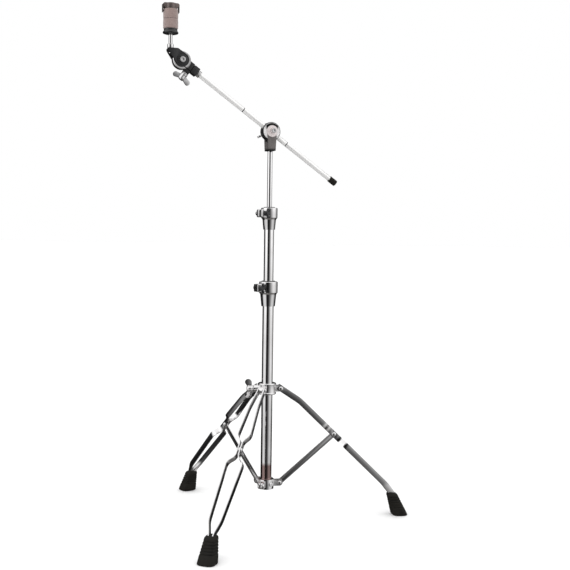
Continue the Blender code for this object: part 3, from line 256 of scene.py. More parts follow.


# Grey cast cheeks with a painted highlight round the screw, black at the top and at the foot
def makeYokeLook():
    made, tree, at = startMaterial("greyCastingWithPaintedHighlight")
    patches = tree.noise(at, 90.0)
    grain = tree.noise(at, 1300.0, 3.0)
    middle = jointAt("boom_tilt")
    height = (tree.apart(at)[2] - middle.z) * (1 / (70 * mm)) + 0.72
    grey = (0.21, 0.195, 0.19)
    base = tree.node("ShaderNodeValToRGB", {"stops": [(0.04, (0.006, 0.006, 0.006)), (0.115, grey), (0.70, grey),
                                                      (0.82, (0.008, 0.008, 0.008))]}, {"Fac": height})
    # painted highlight: a pale pink patch on the cheeks round the pivot screw, with less metal there
    wearAndPaintedHighlight = nearAxis(tree, at, middle, faceAxis, 14.5 * mm)
    color = tree.mixed(wearAndPaintedHighlight, base, (0.88, 0.80, 0.79))
    speckled = tree.mixed(tree.spread(patches * 0.5 + grain * 0.5, 0.0, 0.7), color, (0.5, 0.49, 0.49),
                          "MULTIPLY")
    finishMaterial(tree, speckled, wearAndPaintedHighlight * -0.3 + 0.55, tree.spread(patches, 0.34, 0.5),
                   tree.bump(grain, 0.25, 0.00015))
    return made


def makeChrome(name, look):
    made, tree, at = startMaterial(name)
    smudge = tree.noise(at, look["smudgeScale"])
    scratch = tree.noise(tree.stretched(at, look["scratchScale"]), 1.0, 2.0)
    pits = tree.noise(at, look["pitScale"], 1.0)
    color = tree.mixed(tree.spread(smudge, 0.0, 0.35), look["tint"], look["stain"])
    rough = tree.spread(smudge * 0.8 + scratch * 0.2, look["polish"], look["smudge"])
    normal = tree.bump(scratch * 0.6 + pits * 0.4, 0.05, 0.0001)
    finishMaterial(tree, color, look["metal"], rough, normal)
    return made


# A sprayed or cast alloy: fine orange peel, and a slightly uneven sheen
def makeCasting(name, dark, light, metal, roughLow, roughHigh, grainScale, depth):
    made, tree, at = startMaterial(name)
    patches = tree.noise(at, 60.0)
    grain = tree.noise(at, grainScale, 3.0)
    peel = tree.noise(at, grainScale / 4, 2.0)
    color = tree.mixed(tree.spread(patches * 0.7 + grain * 0.3, 0.0, 1.0), dark, light)
    rough = tree.spread(patches * 0.5 + grain * 0.5, roughLow, roughHigh)
    normal = tree.bump(grain * 0.6 + peel * 0.4, 0.25, depth)
    finishMaterial(tree, color, metal, rough, normal, {"Coat Weight": 0.15, "Coat Roughness": 0.25})
    return made


rubberLook = {"deep": (0.0045, 0.0040, 0.0030), "dusty": (0.017, 0.015, 0.011), "grain": 1400.0}


# Moulded rubber: matt, pebbled, with a little dust
def makeRubber():
    made, tree, at = startMaterial("mouldedRubber")
    dust = tree.noise(at, 55.0, 6.0, 0.65)
    pebble = tree.node("ShaderNodeTexVoronoi", {"feature": "F1"}, {"Vector": at, "Scale": rubberLook["grain"]})
    color = tree.mixed(tree.spread(dust, 0.0, 0.8), rubberLook["deep"], rubberLook["dusty"])
    rough = tree.spread(dust, 0.52, 0.82)
    normal = tree.bump(pebble * 0.5 + dust * 0.5, 0.35, 0.0002)
    finishMaterial(tree, color, None, rough, normal, {"Specular IOR Level": 0.22})
    return made


feltLook = {"shade": (0.145, 0.103, 0.095), "middle": (0.265, 0.195, 0.180), "fibre": (0.37, 0.295, 0.275),
            "fibreScale": (420.0, 420.0, 1500.0), "tuft": 330.0, "layer": 900.0}


# Pressed wool: matted fibres that lie mostly flat, in faint layers
def makeFelt():
    made, tree, at = startMaterial("pressedFelt")
    tufts = tree.noise(at, feltLook["tuft"], 8.0, 0.7)
    fibres = tree.noise(tree.stretched(at, feltLook["fibreScale"]), 1.0, 6.0, 0.75)
    layers = tree.noise(tree.stretched(at, (30.0, 30.0, feltLook["layer"])), 1.0, 3.0)
    stain = tree.noise(at, 55.0, 3.0)
    base = tree.node("ShaderNodeValToRGB", {"stops": [(0.30, feltLook["shade"]), (0.52, feltLook["middle"]),
                                                      (0.72, feltLook["fibre"])]},
                     {"Fac": fibres * 0.45 + tufts * 0.30 + layers * 0.25})
    color = tree.mixed(tree.spread(stain, 0.0, 0.45), base, (0.78, 0.70, 0.67), "MULTIPLY")
    normal = tree.bump(fibres * 0.5 + tufts * 0.5, 0.7, 0.0006)
    finishMaterial(tree, color, None, tree.spread(tufts, 0.86, 1.0),
                   normal, {"Sheen Weight": 0.35, "Sheen Roughness": 0.6})
    return made


chrome = makeChrome("polishedChrome", chromeLook)
blackCasting = makeCasting("satinBlackCasting", (0.006, 0.006, 0.007), (0.020, 0.020, 0.021), 0.0,
                           0.24, 0.42, 1500.0, 0.00012)
greyCasting = makeCasting("satinGreyCasting", (0.24, 0.225, 0.22), (0.40, 0.38, 0.37), 0.75,
                          0.32, 0.48, 1300.0, 0.00015)
darkCasting = makeCasting("brownedCasting", (0.10, 0.078, 0.074), (0.19, 0.155, 0.148), 0.65,
                          0.28, 0.42, 1300.0, 0.00012)
nylon = makeCasting("blackNylon", (0.012, 0.012, 0.013), (0.028, 0.028, 0.030), 0.0, 0.42, 0.58, 900.0,
                    0.0001)
rubber = makeRubber()
felt = makeFelt()
blackPaint = ((0.010, 0.010, 0.010), 0.0, 0.32)
drumLook = makeTwoTone("drumFace", jointAt("boom_tilt"), faceAxis, 21.6 * mm, ((0.93, 0.92, 0.92), 0.35, 0.22),
                       blackPaint)
bandLook = makeTwoTone("bandRing", jointAt("tilter_turn"), faceAxis, 22.6 * mm, ((0.86, 0.85, 0.85), 1.0, 0.09),
                       blackPaint)
yokeLook = makeYokeLook()
finishes = {"chrome": chrome, "black_casting": blackCasting, "grey_casting": greyCasting,
            "nylon": nylon, "rubber": rubber, "felt": felt}
print("stage: materials made")


bodyOf = {node: body for body, nodes in frame["record"]["behaviour"]["bodies"].items() for node in nodes}


# A closed outline of (radius, height) points, turned about Z
def spun(profile, sides=fine):
    bm = bmesh.new()
    verts = [bm.verts.new((radius, 0, height)) for radius, height in profile]
    pairs = list(zip(verts, verts[1:]))
    if profile[0][0] > 0 or profile[-1][0] > 0:
        pairs.append((verts[-1], verts[0]))
    edges = [bm.edges.new(pair) for pair in pairs]
    bmesh.ops.spin(bm, geom=verts + edges, cent=(0, 0, 0), axis=(0, 0, 1), angle=2 * pi, steps=sides,
                   use_merge=True)
    bmesh.ops.remove_doubles(bm, verts=bm.verts, dist=1e-6)
    bmesh.ops.recalc_face_normals(bm, faces=bm.faces)
    return bm


def arc(center, radius, start, end, count):
    return [(center[0] + radius * cos(start + (end - start) * i / count),
             center[1] + radius * sin(start + (end - start) * i / count)) for i in range(count + 1)]


# A flat outline of (x, z) points given thickness along Y
def slab(outline, low, high):
    bm = bmesh.new()
    face = bm.faces.new([bm.verts.new((x, low, z)) for x, z in outline])
    grown = bmesh.ops.extrude_face_region(bm, geom=[face])
    moved = [item for item in grown["geom"] if isinstance(item, bmesh.types.BMVert)]
    bmesh.ops.translate(bm, vec=(0, high - low, 0), verts=moved)
    bmesh.ops.recalc_face_normals(bm, faces=bm.faces)
    return bm


def box(low, high):
    bm = bmesh.new()
    bmesh.ops.create_cube(bm, size=1.0)
    size = [b - a for a, b in zip(low, high)]
    middle = [(a + b) / 2 for a, b in zip(low, high)]
    bmesh.ops.transform(bm, matrix=place(*middle) @ Matrix.Diagonal((*size, 1.0)), verts=bm.verts)
    return bm


def rounded(bm, width, steps):
    bmesh.ops.bevel(bm, geom=bm.edges[:], offset=width, offset_type="OFFSET", segments=steps, profile=0.5,
                    affect="EDGES", material=-1)
    return bm


def moved(bm, matrix):
    bmesh.ops.transform(bm, matrix=matrix, verts=bm.verts)
    return bm


def added(name, data):
    made = bpy.data.objects.new(name, data)
    bpy.context.scene.collection.objects.link(made)
    return made


def toMesh(bm, name):
    mesh = bpy.data.meshes.new(name)
    bm.to_mesh(mesh)
    bm.free()
    return mesh


def soften(target, width, segments=3, angle=32):
    change = target.modifiers.new("softEdges", "BEVEL")
    change.width = width
    change.segments = segments
    change.limit_method = "ANGLE"
    change.angle_limit = radians(angle)
    change.use_clamp_overlap = True
    return change


# Apply a piece's modifiers
def settle(target):
    depsgraph = bpy.context.evaluated_depsgraph_get()
    mesh = bpy.data.meshes.new_from_object(target.evaluated_get(depsgraph))
    target.modifiers.clear()
    target.data = mesh


# Cut or join one closed shape into a piece
def combine(target, tool, operation):
    helper = added("tool", toMesh(tool, "tool"))
    change = target.modifiers.new("combine", "BOOLEAN")
    change.operation = operation
    change.object = helper
    change.solver = "EXACT"
    settle(target)
    bpy.data.objects.remove(helper)


# A finished piece: joined, cut, softened, in its place, riding on its node's body
def piece(name, bm, at, nodes, edge=0.0, joins=(), cuts=(), segments=3, look=None, sharp=38):
    made = added(name, toMesh(bm, name))
    for shape in joins:
        combine(made, shape, "UNION")
    for shape in cuts:
        combine(made, shape, "DIFFERENCE")
    if edge:
        soften(made, edge, segments)
        settle(made)
    made.data.transform(at)
    made.data.shade_smooth()
    made.data.set_sharp_from_angle(angle=radians(sharp))
    slotName = slotOf[nodes[0]]
    made.data.materials.clear()
    made.data.materials.append(look or finishes[slotName])
    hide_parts(*nodes)
    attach(made, bodyOf[nodes[0]])
    return made


slotOf = {part["node"]: part["material_slot"] for part in frame["record"]["subparts"]}


def ring(inner, outer, low, high, sides=fine):
    return spun([(inner, low), (outer, low), (outer, high), (inner, high)], sides)


def post(radius, low, high, sides=small):
    return ring(0, radius, low, high, sides)


# A round bar along Y
def across(radius, halfLength, sides=small):
    return moved(post(radius, -halfLength, halfLength, sides), front)


# The hexagon recess in the end of a screw
def keyHole(top):
    return post(3.0 * mm, top - 3.5 * mm, top + mm, 6)


studio = {"distance": 2.416, "height": 0.7397, "yaw": 1.01, "pitch": -3.09, "roll": 0.80, "lens": 59.64,
          "floorSize": 60.0}


def makeCamera():
    yaw, pitch, roll = (radians(studio[key]) for key in ("yaw", "pitch", "roll"))
    ahead = Vector((sin(yaw) * cos(pitch), cos(yaw) * cos(pitch), sin(pitch)))
    level = Vector((cos(yaw), -sin(yaw), 0))
    rise = level.cross(ahead)
    right = cos(roll) * level + sin(roll) * rise
    up = cos(roll) * rise - sin(roll) * level
    lens = bpy.data.cameras.new("camera")
    lens.sensor_width = 36.0
    lens.lens = studio["lens"]
    camera = added("camera", lens)
    turned = Matrix((right, up, -ahead)).transposed().to_4x4()
    camera.matrix_world = Matrix.Translation(column + Vector((0, -studio["distance"], studio["height"]))) @ turned
    bpy.context.scene.camera = camera


def makeFloor():
    bm = bmesh.new()
    bmesh.ops.create_grid(bm, x_segments=2, y_segments=2, size=studio["floorSize"])
    floor = added("floor", toMesh(moved(bm, place(z=-0.4 * mm)), "floor"))
    made, tree, at = startMaterial("paleFloor")
    cloud = tree.noise(at, 1.5)
    finishMaterial(tree, tree.mixed(cloud, (0.93, 0.93, 0.93), (0.95, 0.95, 0.95)), None, 0.9, None)
    floor.data.materials.append(made)
    floor.visible_glossy = False


# What the chrome mirrors, by compass direction: 0 and 1 are -X, 0.25 is the camera's side
studioStops = [(0.000, 0.66), (0.030, 0.95), (0.125, 1.00), (0.150, 0.85), (0.176, 0.020), (0.235, 0.004),
               (0.262, 0.020), (0.290, 0.085), (0.350, 0.42), (0.420, 0.92), (0.480, 0.92), (0.520, 0.72),
               (0.565, 0.42), (0.600, 0.15), (0.700, 0.06), (0.730, 0.025), (0.880, 0.020), (0.965, 0.035),
               (0.990, 0.42), (1.000, 0.66)]
lowStops = [(0.000, 0.12), (0.030, 0.78), (0.125, 0.85), (0.150, 0.68), (0.176, 0.020), (0.240, 0.008),
            (0.262, 0.020), (0.290, 0.08), (0.324, 0.16), (0.360, 0.36), (0.420, 0.72), (0.480, 0.70),
            (0.520, 0.44), (0.560, 0.12), (0.585, 0.015), (0.975, 0.010), (1.000, 0.12)]  # looking down a little


# White to the eye, an even white for matt surfaces, and a studio with dark flags for the chrome
def makeWorld():
    world = bpy.data.worlds.new("studio")
    bpy.context.scene.world = world
    world.use_nodes = True
    world.node_tree.nodes.clear()
    tree = Tree(world.node_tree.nodes, world.node_tree.links)
    way = tree.node("ShaderNodeTexCoord")
    x, y, z = tree.apart(way)
    compass = tree.math("ARCTAN2", y, x) * (0.5 / pi) + 0.5
    around = tree.node("ShaderNodeValToRGB", {"stops": studioStops}, {"Fac": compass})
    overhead = tree.ranged(z, 0.45, 0.7)
    below = tree.ranged(z * -1, 0.5, 0.8)
    lowAround = tree.node("ShaderNodeValToRGB", {"stops": lowStops}, {"Fac": compass})
    rise = tree.ranged(z, -0.27, -0.11)
    brighter = tree.ranged(z, 0.0, 0.2, 1.0, 1.4)
    walls = tree.mixed(1.0, tree.mixed(rise, lowAround, around), brighter, "MULTIPLY")
    lifted = tree.mixed(overhead, walls, (1.15, 1.15, 1.15))
    mirrored = tree.mixed(below, lifted, (0.16, 0.155, 0.15))
    glossy = tree.node("ShaderNodeLightPath", output="Is Glossy Ray")
    seen = tree.mixed(glossy, (1, 1, 1), mirrored)
    shown = tree.node("ShaderNodeBackground", {}, {"Color": seen, "Strength": 1.0})
    tree.node("ShaderNodeOutputWorld", {}, {"Surface": shown})


def makeLight(name, spot, size, power):
    lamp = bpy.data.lights.new(name, "AREA")
    lamp.size = size
    lamp.energy = power
    hung = added(name, lamp)
    hung.location = spot
    aim = Vector((0, 0, 0.7)) - Vector(spot)
    hung.rotation_euler = aim.to_track_quat("-Z", "Y").to_euler()
    hung.visible_glossy = False


# A wide soft light from above, so that the floor reads as an even white
def makeSky():
    sky = bpy.data.lights.new("softSky", "SUN")
    sky.energy = 0.55
    sky.angle = radians(120)
    added("softSky", sky).visible_glossy = False


makeCamera()
makeFloor()
makeWorld()
makeLight("softKey", (-1.6, -2.0, 3.0), 1.8, 16.0)
makeSky()
bpy.context.scene.view_settings.view_transform = "Standard"
print("stage: studio made")


tubes = inMm(baseR=14.3, midR=12.7, rodR=6.35, wall=1.2, lip=0.35)


def makeTubes():
    def tube(name, radius, node, look=None):
        low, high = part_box(node)
        inner = radius - tubes["wall"]
        piece(name, ring(inner, radius, low.z, high.z), columnFrame, [node], edge=tubes["lip"], look=look)

    tube("baseTube", tubes["baseR"], "base_tube", makeFootedChrome())
    tube("midTube", tubes["midR"], "mid_tube")
    low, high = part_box("upper_rod")
    piece("upperRod", post(tubes["rodR"], low.z, high.z, fine), columnFrame, ["upper_rod"], edge=0.6 * mm)
    low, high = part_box("upper_rod_guide")
    radius = (high.x - low.x) / 2
    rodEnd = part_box("upper_rod")[0].z
    piece("rodGuide", post(radius, low.z, high.z), columnFrame, ["upper_rod_guide"], edge=0.8 * mm,
          cuts=[post(tubes["rodR"] + fixedGap, rodEnd - fixedGap, high.z + 5 * mm)])
    low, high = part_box("base_tube_plug")
    step = 2.2 * mm
    plugR = tubes["baseR"] - tubes["wall"] - fixedGap
    piece("tubePlug", spun([(0, low.z), (tubes["baseR"], low.z), (tubes["baseR"], low.z + step),
                            (plugR, low.z + step), (plugR, high.z), (0, high.z)]),
          columnFrame, ["base_tube_plug"], edge=0.4 * mm)


# The hub of a wing bolt, and its two wings
def wingedShape(hubR, hubLength, wings):
    low, high, reach, thickness = wings
    hub = spun([(0, 0), (hubR * 1.04, 0), (hubR * 1.04, hubLength * 0.18), (hubR * 0.93, hubLength * 0.26),
                (hubR, hubLength * 0.8), (hubR * 0.72, hubLength), (0, hubLength)], small)
    tip = (high - low) / 2
    leaves = []
    for side in (0, 1):
        outline = [(hubR * 0.4, hubLength * 0.2)]
        outline += arc((reach - tip, (low + high) / 2), tip, -pi / 2, pi / 2, 18)
        outline += [(hubR * 0.4, hubLength * 0.85)]
        leaf = slab(outline, -thickness / 2, thickness / 2)
        leaves.append(moved(leaf, turn(side * pi, "Z")))
    return hub, leaves


# A bolt has a shank of (radius, from, to) along its axis, and a nut has a bore of (radius, depth)
def makeWinged(name, node, at, hub, wings, shank=None, bore=None):
    body, leaves = wingedShape(hub[0], hub[1], wings)
    if shank:
        leaves.append(post(*shank))
    holes = [post(bore[0], -mm, bore[1])] if bore else []
    piece(name, body, at, [node], edge=0.9 * mm, joins=leaves, cuts=holes, segments=4)


clamps = [
    {**inMm(height=32, radius=24, skirt=31, skirtTop=20.5, skirtLow=17.6, boltRadius=28, tube=14.3, bore=12.7,
         bushWall=2), "name": "baseClamp", "node": "base_clamp", "slotAzimuth": radians(208.0), "seat":
         "base_tube"},
    {**inMm(height=29, radius=21, skirt=26.5, skirtTop=17.2, skirtLow=15, boltRadius=24.5, tube=12.7,
         bore=6.35, bushWall=5.5), "name": "midClamp", "node": "mid_clamp", "slotAzimuth": radians(222.0),
         "seat": "mid_tube"}]
clampParts = inMm(seatInside=10, slot=3, earHalfT=12, earReach=8.5, earHalfH=10, boltR=3, headR=6, headT=6.5,
                  hub=(6.5, 12), wings=(7, 18, 13, 4))


def makeClamp(clamp):
    c = clampParts
    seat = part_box(clamp["seat"])[1].z
    low = seat - c["seatInside"]
    high = low + clamp["height"]
    outer = clamp["radius"]
    bore = clamp["tube"] + fixedGap
    bushBore = clamp["bore"] + runGap
    bushR = bushBore + clamp["bushWall"]
    housing = bushR + fixedGap
    at = columnFrame @ turn(clamp["slotAzimuth"], "Z")
    middle = (low + high) / 2
    skirtLow = low - clamp["skirt"]
    profile = [(bore, skirtLow), (clamp["skirtLow"], skirtLow), (clamp["skirtTop"], low - 2 * mm),
               (outer - 3 * mm, low), (outer, low + 4 * mm), (outer, high - 1.5 * mm), (outer - 1.5 * mm, high),
               (housing, high), (housing, seat + fixedGap), (bore, seat + fixedGap)]
    boltR = clamp["boltRadius"]
    ear = rounded(box((outer * 0.75, -c["earHalfT"], middle - c["earHalfH"]),
              (boltR + c["earReach"], c["earHalfT"], middle + c["earHalfH"])), 2.4 * mm, 4)
    slot = box((housing * 0.6, -c["slot"] / 2, low - clamp["skirt"] * 0.1),
               (boltR + c["earReach"] + 5 * mm, c["slot"] / 2, high + 5 * mm))
    hole = moved(across(c["boltR"] + fixedGap, c["earHalfT"] * 2), place(boltR, 0, middle))
    piece(clamp["name"], spun(profile), at, [clamp["node"]], edge=0.7 * mm, joins=[ear],
          cuts=[post(housing, seat + fixedGap, high + 5 * mm, fine), slot, hole])
    flange = bushR + 2.5 * mm
    top = high + fixedGap
    piece(clamp["name"] + "Bush", spun([(bushBore, seat + 0.6 * mm), (bushR, seat + 0.6 * mm), (bushR, top),
                                        (flange, top), (flange, top + 1.6 * mm), (bushBore, top + 1.6 * mm)]),
          at, [clamp["node"] + "_bush"], edge=0.45 * mm)
    seatAt = c["earHalfT"] + fixedGap
    boltFrame = at @ place(boltR, 0, middle) @ front
    headTop = seatAt + c["headT"]
    tip = -(seatAt + c["hub"][1] - 3 * mm)
    bolt = spun([(0, tip), (c["boltR"], tip), (c["boltR"], seatAt), (c["headR"], seatAt),
                 (c["headR"], headTop), (0, headTop)], small)
    piece(clamp["name"] + "Bolt", bolt, boltFrame, [clamp["node"] + "_bolt"], edge=0.6 * mm,
          cuts=[keyHole(headTop)])
    nutFrame = boltFrame @ turn(pi, "X") @ place(0, 0, seatAt) @ turn(pi / 2, "Z")
    makeWinged(clamp["name"] + "WingNut", clamp["node"] + "_wing_nut", nutFrame, c["hub"], c["wings"],
               bore=(c["boltR"] + runGap, c["hub"][1] - 2 * mm))


collars = {**inMm(slideR=23.5, slideHeight=29, rim=4, waist=5.5, edge=1.5, lugHalfT=6, lugHalfH=8, lowR=20,
               lowHeight=25, lowDrop=14, cheekT=4.2, pinR=3, headR=5.5, headT=3, bossR=9, bossReach=12.5,
               boltR=4, hub=(9, 15), wings=(2.5, 20, 24.5, 5)), "screwAzimuth": radians(-50.0)}


def lugOutline(inside, z, half):
    return [(inside, z - half)] + arc((pivotRadius, z), half, -pi / 2, pi / 2, 24) + [(inside, z + half)]


def makeLegCollar():
    c = collars
    low = upperPivotZ - c["slideHeight"] / 2
    high = upperPivotZ + c["slideHeight"] / 2
    bore = tubes["baseR"] + runGap
    outer = c["slideR"]
    waist = outer - c["edge"]
    profile = [(bore, low), (waist, low), (outer, low + c["edge"]), (outer, low + c["rim"]),
               (waist, low + c["waist"]), (waist, high - c["waist"]), (outer, high - c["rim"]),
               (outer, high - c["edge"]), (waist, high), (bore, high)]
    inside = (outer + bore) / 2
    start = columnFrame.inverted()
    joins = []
    cuts = []
    for index in range(3):
        local = start @ legFrame(index)
        joins.append(moved(slab(lugOutline(inside, upperPivotZ, c["lugHalfH"]), -c["lugHalfT"], c["lugHalfT"]),
                           local))
        cuts.append(moved(across(c["pinR"] + fixedGap, 20 * mm), local @ place(pivotRadius, 0, upperPivotZ)))
    bossEnd = outer + c["bossReach"]
    wingFrame = start @ legFrame(0) @ turn(pi, "Z") @ place(0, 0, upperPivotZ) @ outward
    joins.append(moved(post(c["bossR"], inside, bossEnd), wingFrame))
    cuts.append(moved(post(c["boltR"] + runGap, bore - 2 * mm, bossEnd + 5 * mm), wingFrame))
    piece("legCollar", spun(profile), columnFrame, ["leg_collar"], edge=0.7 * mm, joins=joins, cuts=cuts)
    hubAt = bossEnd + c["edge"]
    shank = (c["boltR"], bore - hubAt, 4 * mm)
    makeWinged("legCollarWingBolt", "leg_collar_wing_bolt", columnFrame @ wingFrame @ place(0, 0, hubAt),
               c["hub"], c["wings"], shank)


def makeLowerCollar():
    c = collars
    low = lowerPivotZ - c["lowDrop"]
    high = low + c["lowHeight"]
    bore = tubes["baseR"] + fixedGap
    start = columnFrame.inverted()
    inner = legBars["braceT"] / 2 + runGap
    inside = (c["lowR"] + bore) / 2
    joins = []
    cuts = []
    for index in range(3):
        local = start @ legFrame(index)
        for side in (1, -1):
            near, far = sorted((side * inner, side * (inner + c["cheekT"])))
            joins.append(moved(slab(lugOutline(inside, lowerPivotZ, c["lugHalfH"]), near, far), local))
        cuts.append(moved(across(c["pinR"] + fixedGap, 20 * mm), local @ place(pivotRadius, 0, lowerPivotZ)))
    screwFrame = turn(c["screwAzimuth"], "Z") @ place(0, 0, (low + high) / 2) @ outward
    cuts.append(moved(post(4.3 * mm, bore - mm, c["lowR"] + mm), screwFrame))
    piece("lowerCollar", ring(bore, c["lowR"], low, high), columnFrame, ["lower_collar"], edge=0.9 * mm,
          joins=joins, cuts=cuts)
    tip = tubes["baseR"] + fixedGap
    head = c["lowR"] + 3 * mm
    screw = spun([(0, tip), (4 * mm, tip), (4 * mm, c["lowR"] + fixedGap), (5.5 * mm, c["lowR"] + fixedGap),
                  (5.0 * mm, head), (0, head)], small)
    recess = post(2.4 * mm, c["lowR"] + mm, head + mm, 6)
    piece("lowerCollarScrew", screw, columnFrame @ screwFrame, ["lower_collar_screw"], edge=0.4 * mm,
          cuts=[recess])


legBars = {**inMm(upper=128, lower=195, width=15, t=2.5, braceWidth=14, braceT=3, atBend=11, atUpper=16.5,
               atLower=21, atAnkle=15, atFoot=3, joggleOut=38, joggleIn=22, bendReach=9, bite=34), "slope":
               radians(44.1), "bendSteps": 5}
boots = {**inMm(height=59, drop=83.5, out=42.3, lean=23, soleR=20.5, soleY=22, topR=13.5, topY=14.4,
             ribDepth=1.5), "ribs": 5, "ribFrom": 0.36, "sides": 72, "square": 0.62}


# Key points of a leg in its own plane (r, z), measured from the column and the floor
def legPlan():
    b = legBars
    down = Vector((cos(b["slope"]), -sin(b["slope"])))
    middle = Vector((middleRadius, middleZ))
    ankle = middle + down * b["lower"]
    sole = Vector((ankle.x + boots["out"], 0))
    bootTop = sole + Vector((-boots["lean"], boots["height"]))
    return down, middle, ankle, sole, bootTop


# Places along one strip: (r, spread, z), from the upper pivot down into the boot
def barStations():
    b = legBars
    down, middle, ankle, sole, bootTop = legPlan()
    pivot = Vector((pivotRadius, upperPivotZ))
    bend = middle - down * b["upper"]
    first = (bend - pivot).normalized()
    besideLug = collars["lugHalfT"] + runGap + b["t"] / 2
    besideBrace = b["braceT"] / 2 + runGap + b["t"] / 2
    into = (sole - bootTop).normalized()
    rows = [(pivot - first * b["width"] * 0.5, besideLug), (pivot + first * b["width"] * 0.7, besideLug),
            (bend, b["atBend"]), (middle - down * b["joggleOut"], b["atUpper"]),
            (middle - down * b["joggleIn"], besideBrace), (middle + down * b["joggleIn"], besideBrace),
            (middle + down * b["joggleOut"], b["atLower"]), (ankle, b["atAnkle"]),
            (bootTop, b["atFoot"] + b["t"]), (bootTop + into * b["bite"], b["atFoot"])]
    return [Vector((point.x, spread, point.y)) for point, spread in rows]


# Round each corner of a path with a short curve
def eased(stations):
    path = [stations[0]]
    for before, corner, after in zip(stations, stations[1:], stations[2:]):
        reach = min(legBars["bendReach"], (corner - before).length * 0.4, (after - corner).length * 0.4)
        start = corner + (before - corner).normalized() * reach
        end = corner + (after - corner).normalized() * reach
        for step in range(legBars["bendSteps"] + 1):
            t = step / legBars["bendSteps"]
            path.append(start * (1 - t) ** 2 + corner * 2 * t * (1 - t) + end * t ** 2)
    path.append(stations[-1])
    return path


# Extrude the end face and set each corner where spots(old position) says. Returns the new end
def carryOn(bm, end, isFirst, spots):
    before = {vert.co.to_tuple(7): index for index, vert in enumerate(end.verts)}
    grown = bmesh.ops.extrude_face_region(bm, geom=[end], use_keep_orig=True)
    newEnd = [item for item in grown["geom"] if isinstance(item, bmesh.types.BMFace)][0]
    order = [before[vert.co.to_tuple(7)] for vert in newEnd.verts]
    if not isFirst:
        bmesh.ops.delete(bm, geom=[end], context="FACES_ONLY")
    for vert, index in zip(newEnd.verts, order):
        vert.co = spots[index]
    return newEnd, order


# A flat bar drawn along its path by extruding its end again and again
def makeStrip(side):
    b = legBars
    path = [Vector((p.x, side * p.y, p.z)) for p in eased(barStations())]
    bm = bmesh.new()
    end = None
    slots = [0, 1, 2, 3]
    for index, spot in enumerate(path):
        ahead = (path[min(index + 1, len(path) - 1)] - path[max(index - 1, 0)]).normalized()
        wide = Vector((-ahead.z, 0, ahead.x)).normalized() * b["width"] / 2
        thick = ahead.cross(wide).normalized() * b["t"] / 2
        corners = [spot - wide - thick, spot + wide - thick, spot + wide + thick, spot - wide + thick]
        if end is None:
            end = bm.faces.new([bm.verts.new(corner) for corner in corners])
            continue
        end, order = carryOn(bm, end, index == 1, [corners[slot] for slot in slots])
        slots = [slots[index] for index in order]
    bmesh.ops.recalc_face_normals(bm, faces=bm.faces)
    return bm


# A ribbed boot, drawn up from its sole level by level
def makeBoot():
    s = boots
    sole, bootTop = legPlan()[3:]
    levels = [(0.0, 0.0, 0.93), (0.02, 0.0, 0.985), (0.05, 0.0, 1.0), (s["ribFrom"] - 0.03, 0.0, 1.0)]
    span = 0.90 - s["ribFrom"]
    for rib in range(s["ribs"]):
        low = s["ribFrom"] + span * rib / s["ribs"]
        pitch = span / s["ribs"]
        levels += [(low, 1.0, 1.0), (low + pitch * 0.22, 1.0, 1.0), (low + pitch * 0.36, 0.0, 1.0),
                   (low + pitch * 0.86, 0.0, 1.0)]
    levels += [(0.93, 0.0, 0.97), (0.97, 0.0, 0.88), (0.995, 0.0, 0.74), (1.0, 0.0, 0.55)]
    bm = bmesh.new()
    bmesh.ops.create_circle(bm, cap_ends=True, radius=1.0, segments=s["sides"])
    end = bm.faces[:][0]
    angles = [atan2(vert.co.y, vert.co.x) for vert in end.verts]
    for index, (height, groove, fill) in enumerate(levels):
        taper = min(1.0, max(0.0, (height - 0.10) / 0.90))
        alongR = (s["soleR"] * (1 - taper) + s["topR"] * taper - groove * s["ribDepth"]) * fill
        alongY = (s["soleY"] * (1 - taper) + s["topY"] * taper - groove * s["ribDepth"]) * fill
        middleAt = sole + (bootTop - sole) * height
        spots = []
        for angle in angles:
            x = abs(cos(angle)) ** s["square"] * (1 if cos(angle) > 0 else -1) * alongR
            y = abs(sin(angle)) ** s["square"] * (1 if sin(angle) > 0 else -1) * alongY
            spots.append(Vector((middleAt.x + x, y, middleAt.y)))
        if index == 0:
            for vert, spot in zip(end.verts, spots):
                vert.co = spot
            continue
        end, order = carryOn(bm, end, index == 1, spots)
        angles = [angles[slot] for slot in order]
    bmesh.ops.recalc_face_normals(bm, faces=bm.faces)
    return bm


# A pin along Z with a low dome at each end
def pinShape(halfGrip):
    c = collars
    dome = [(c["headR"] * cos(i * pi / 12), halfGrip + c["headT"] * sin(i * pi / 12)) for i in range(7)]
    upper = [(c["pinR"], halfGrip)] + dome[:-1] + [(0, halfGrip + c["headT"])]
    lower = [(r, -z) for r, z in reversed(upper)]
    return spun(lower + upper, small)


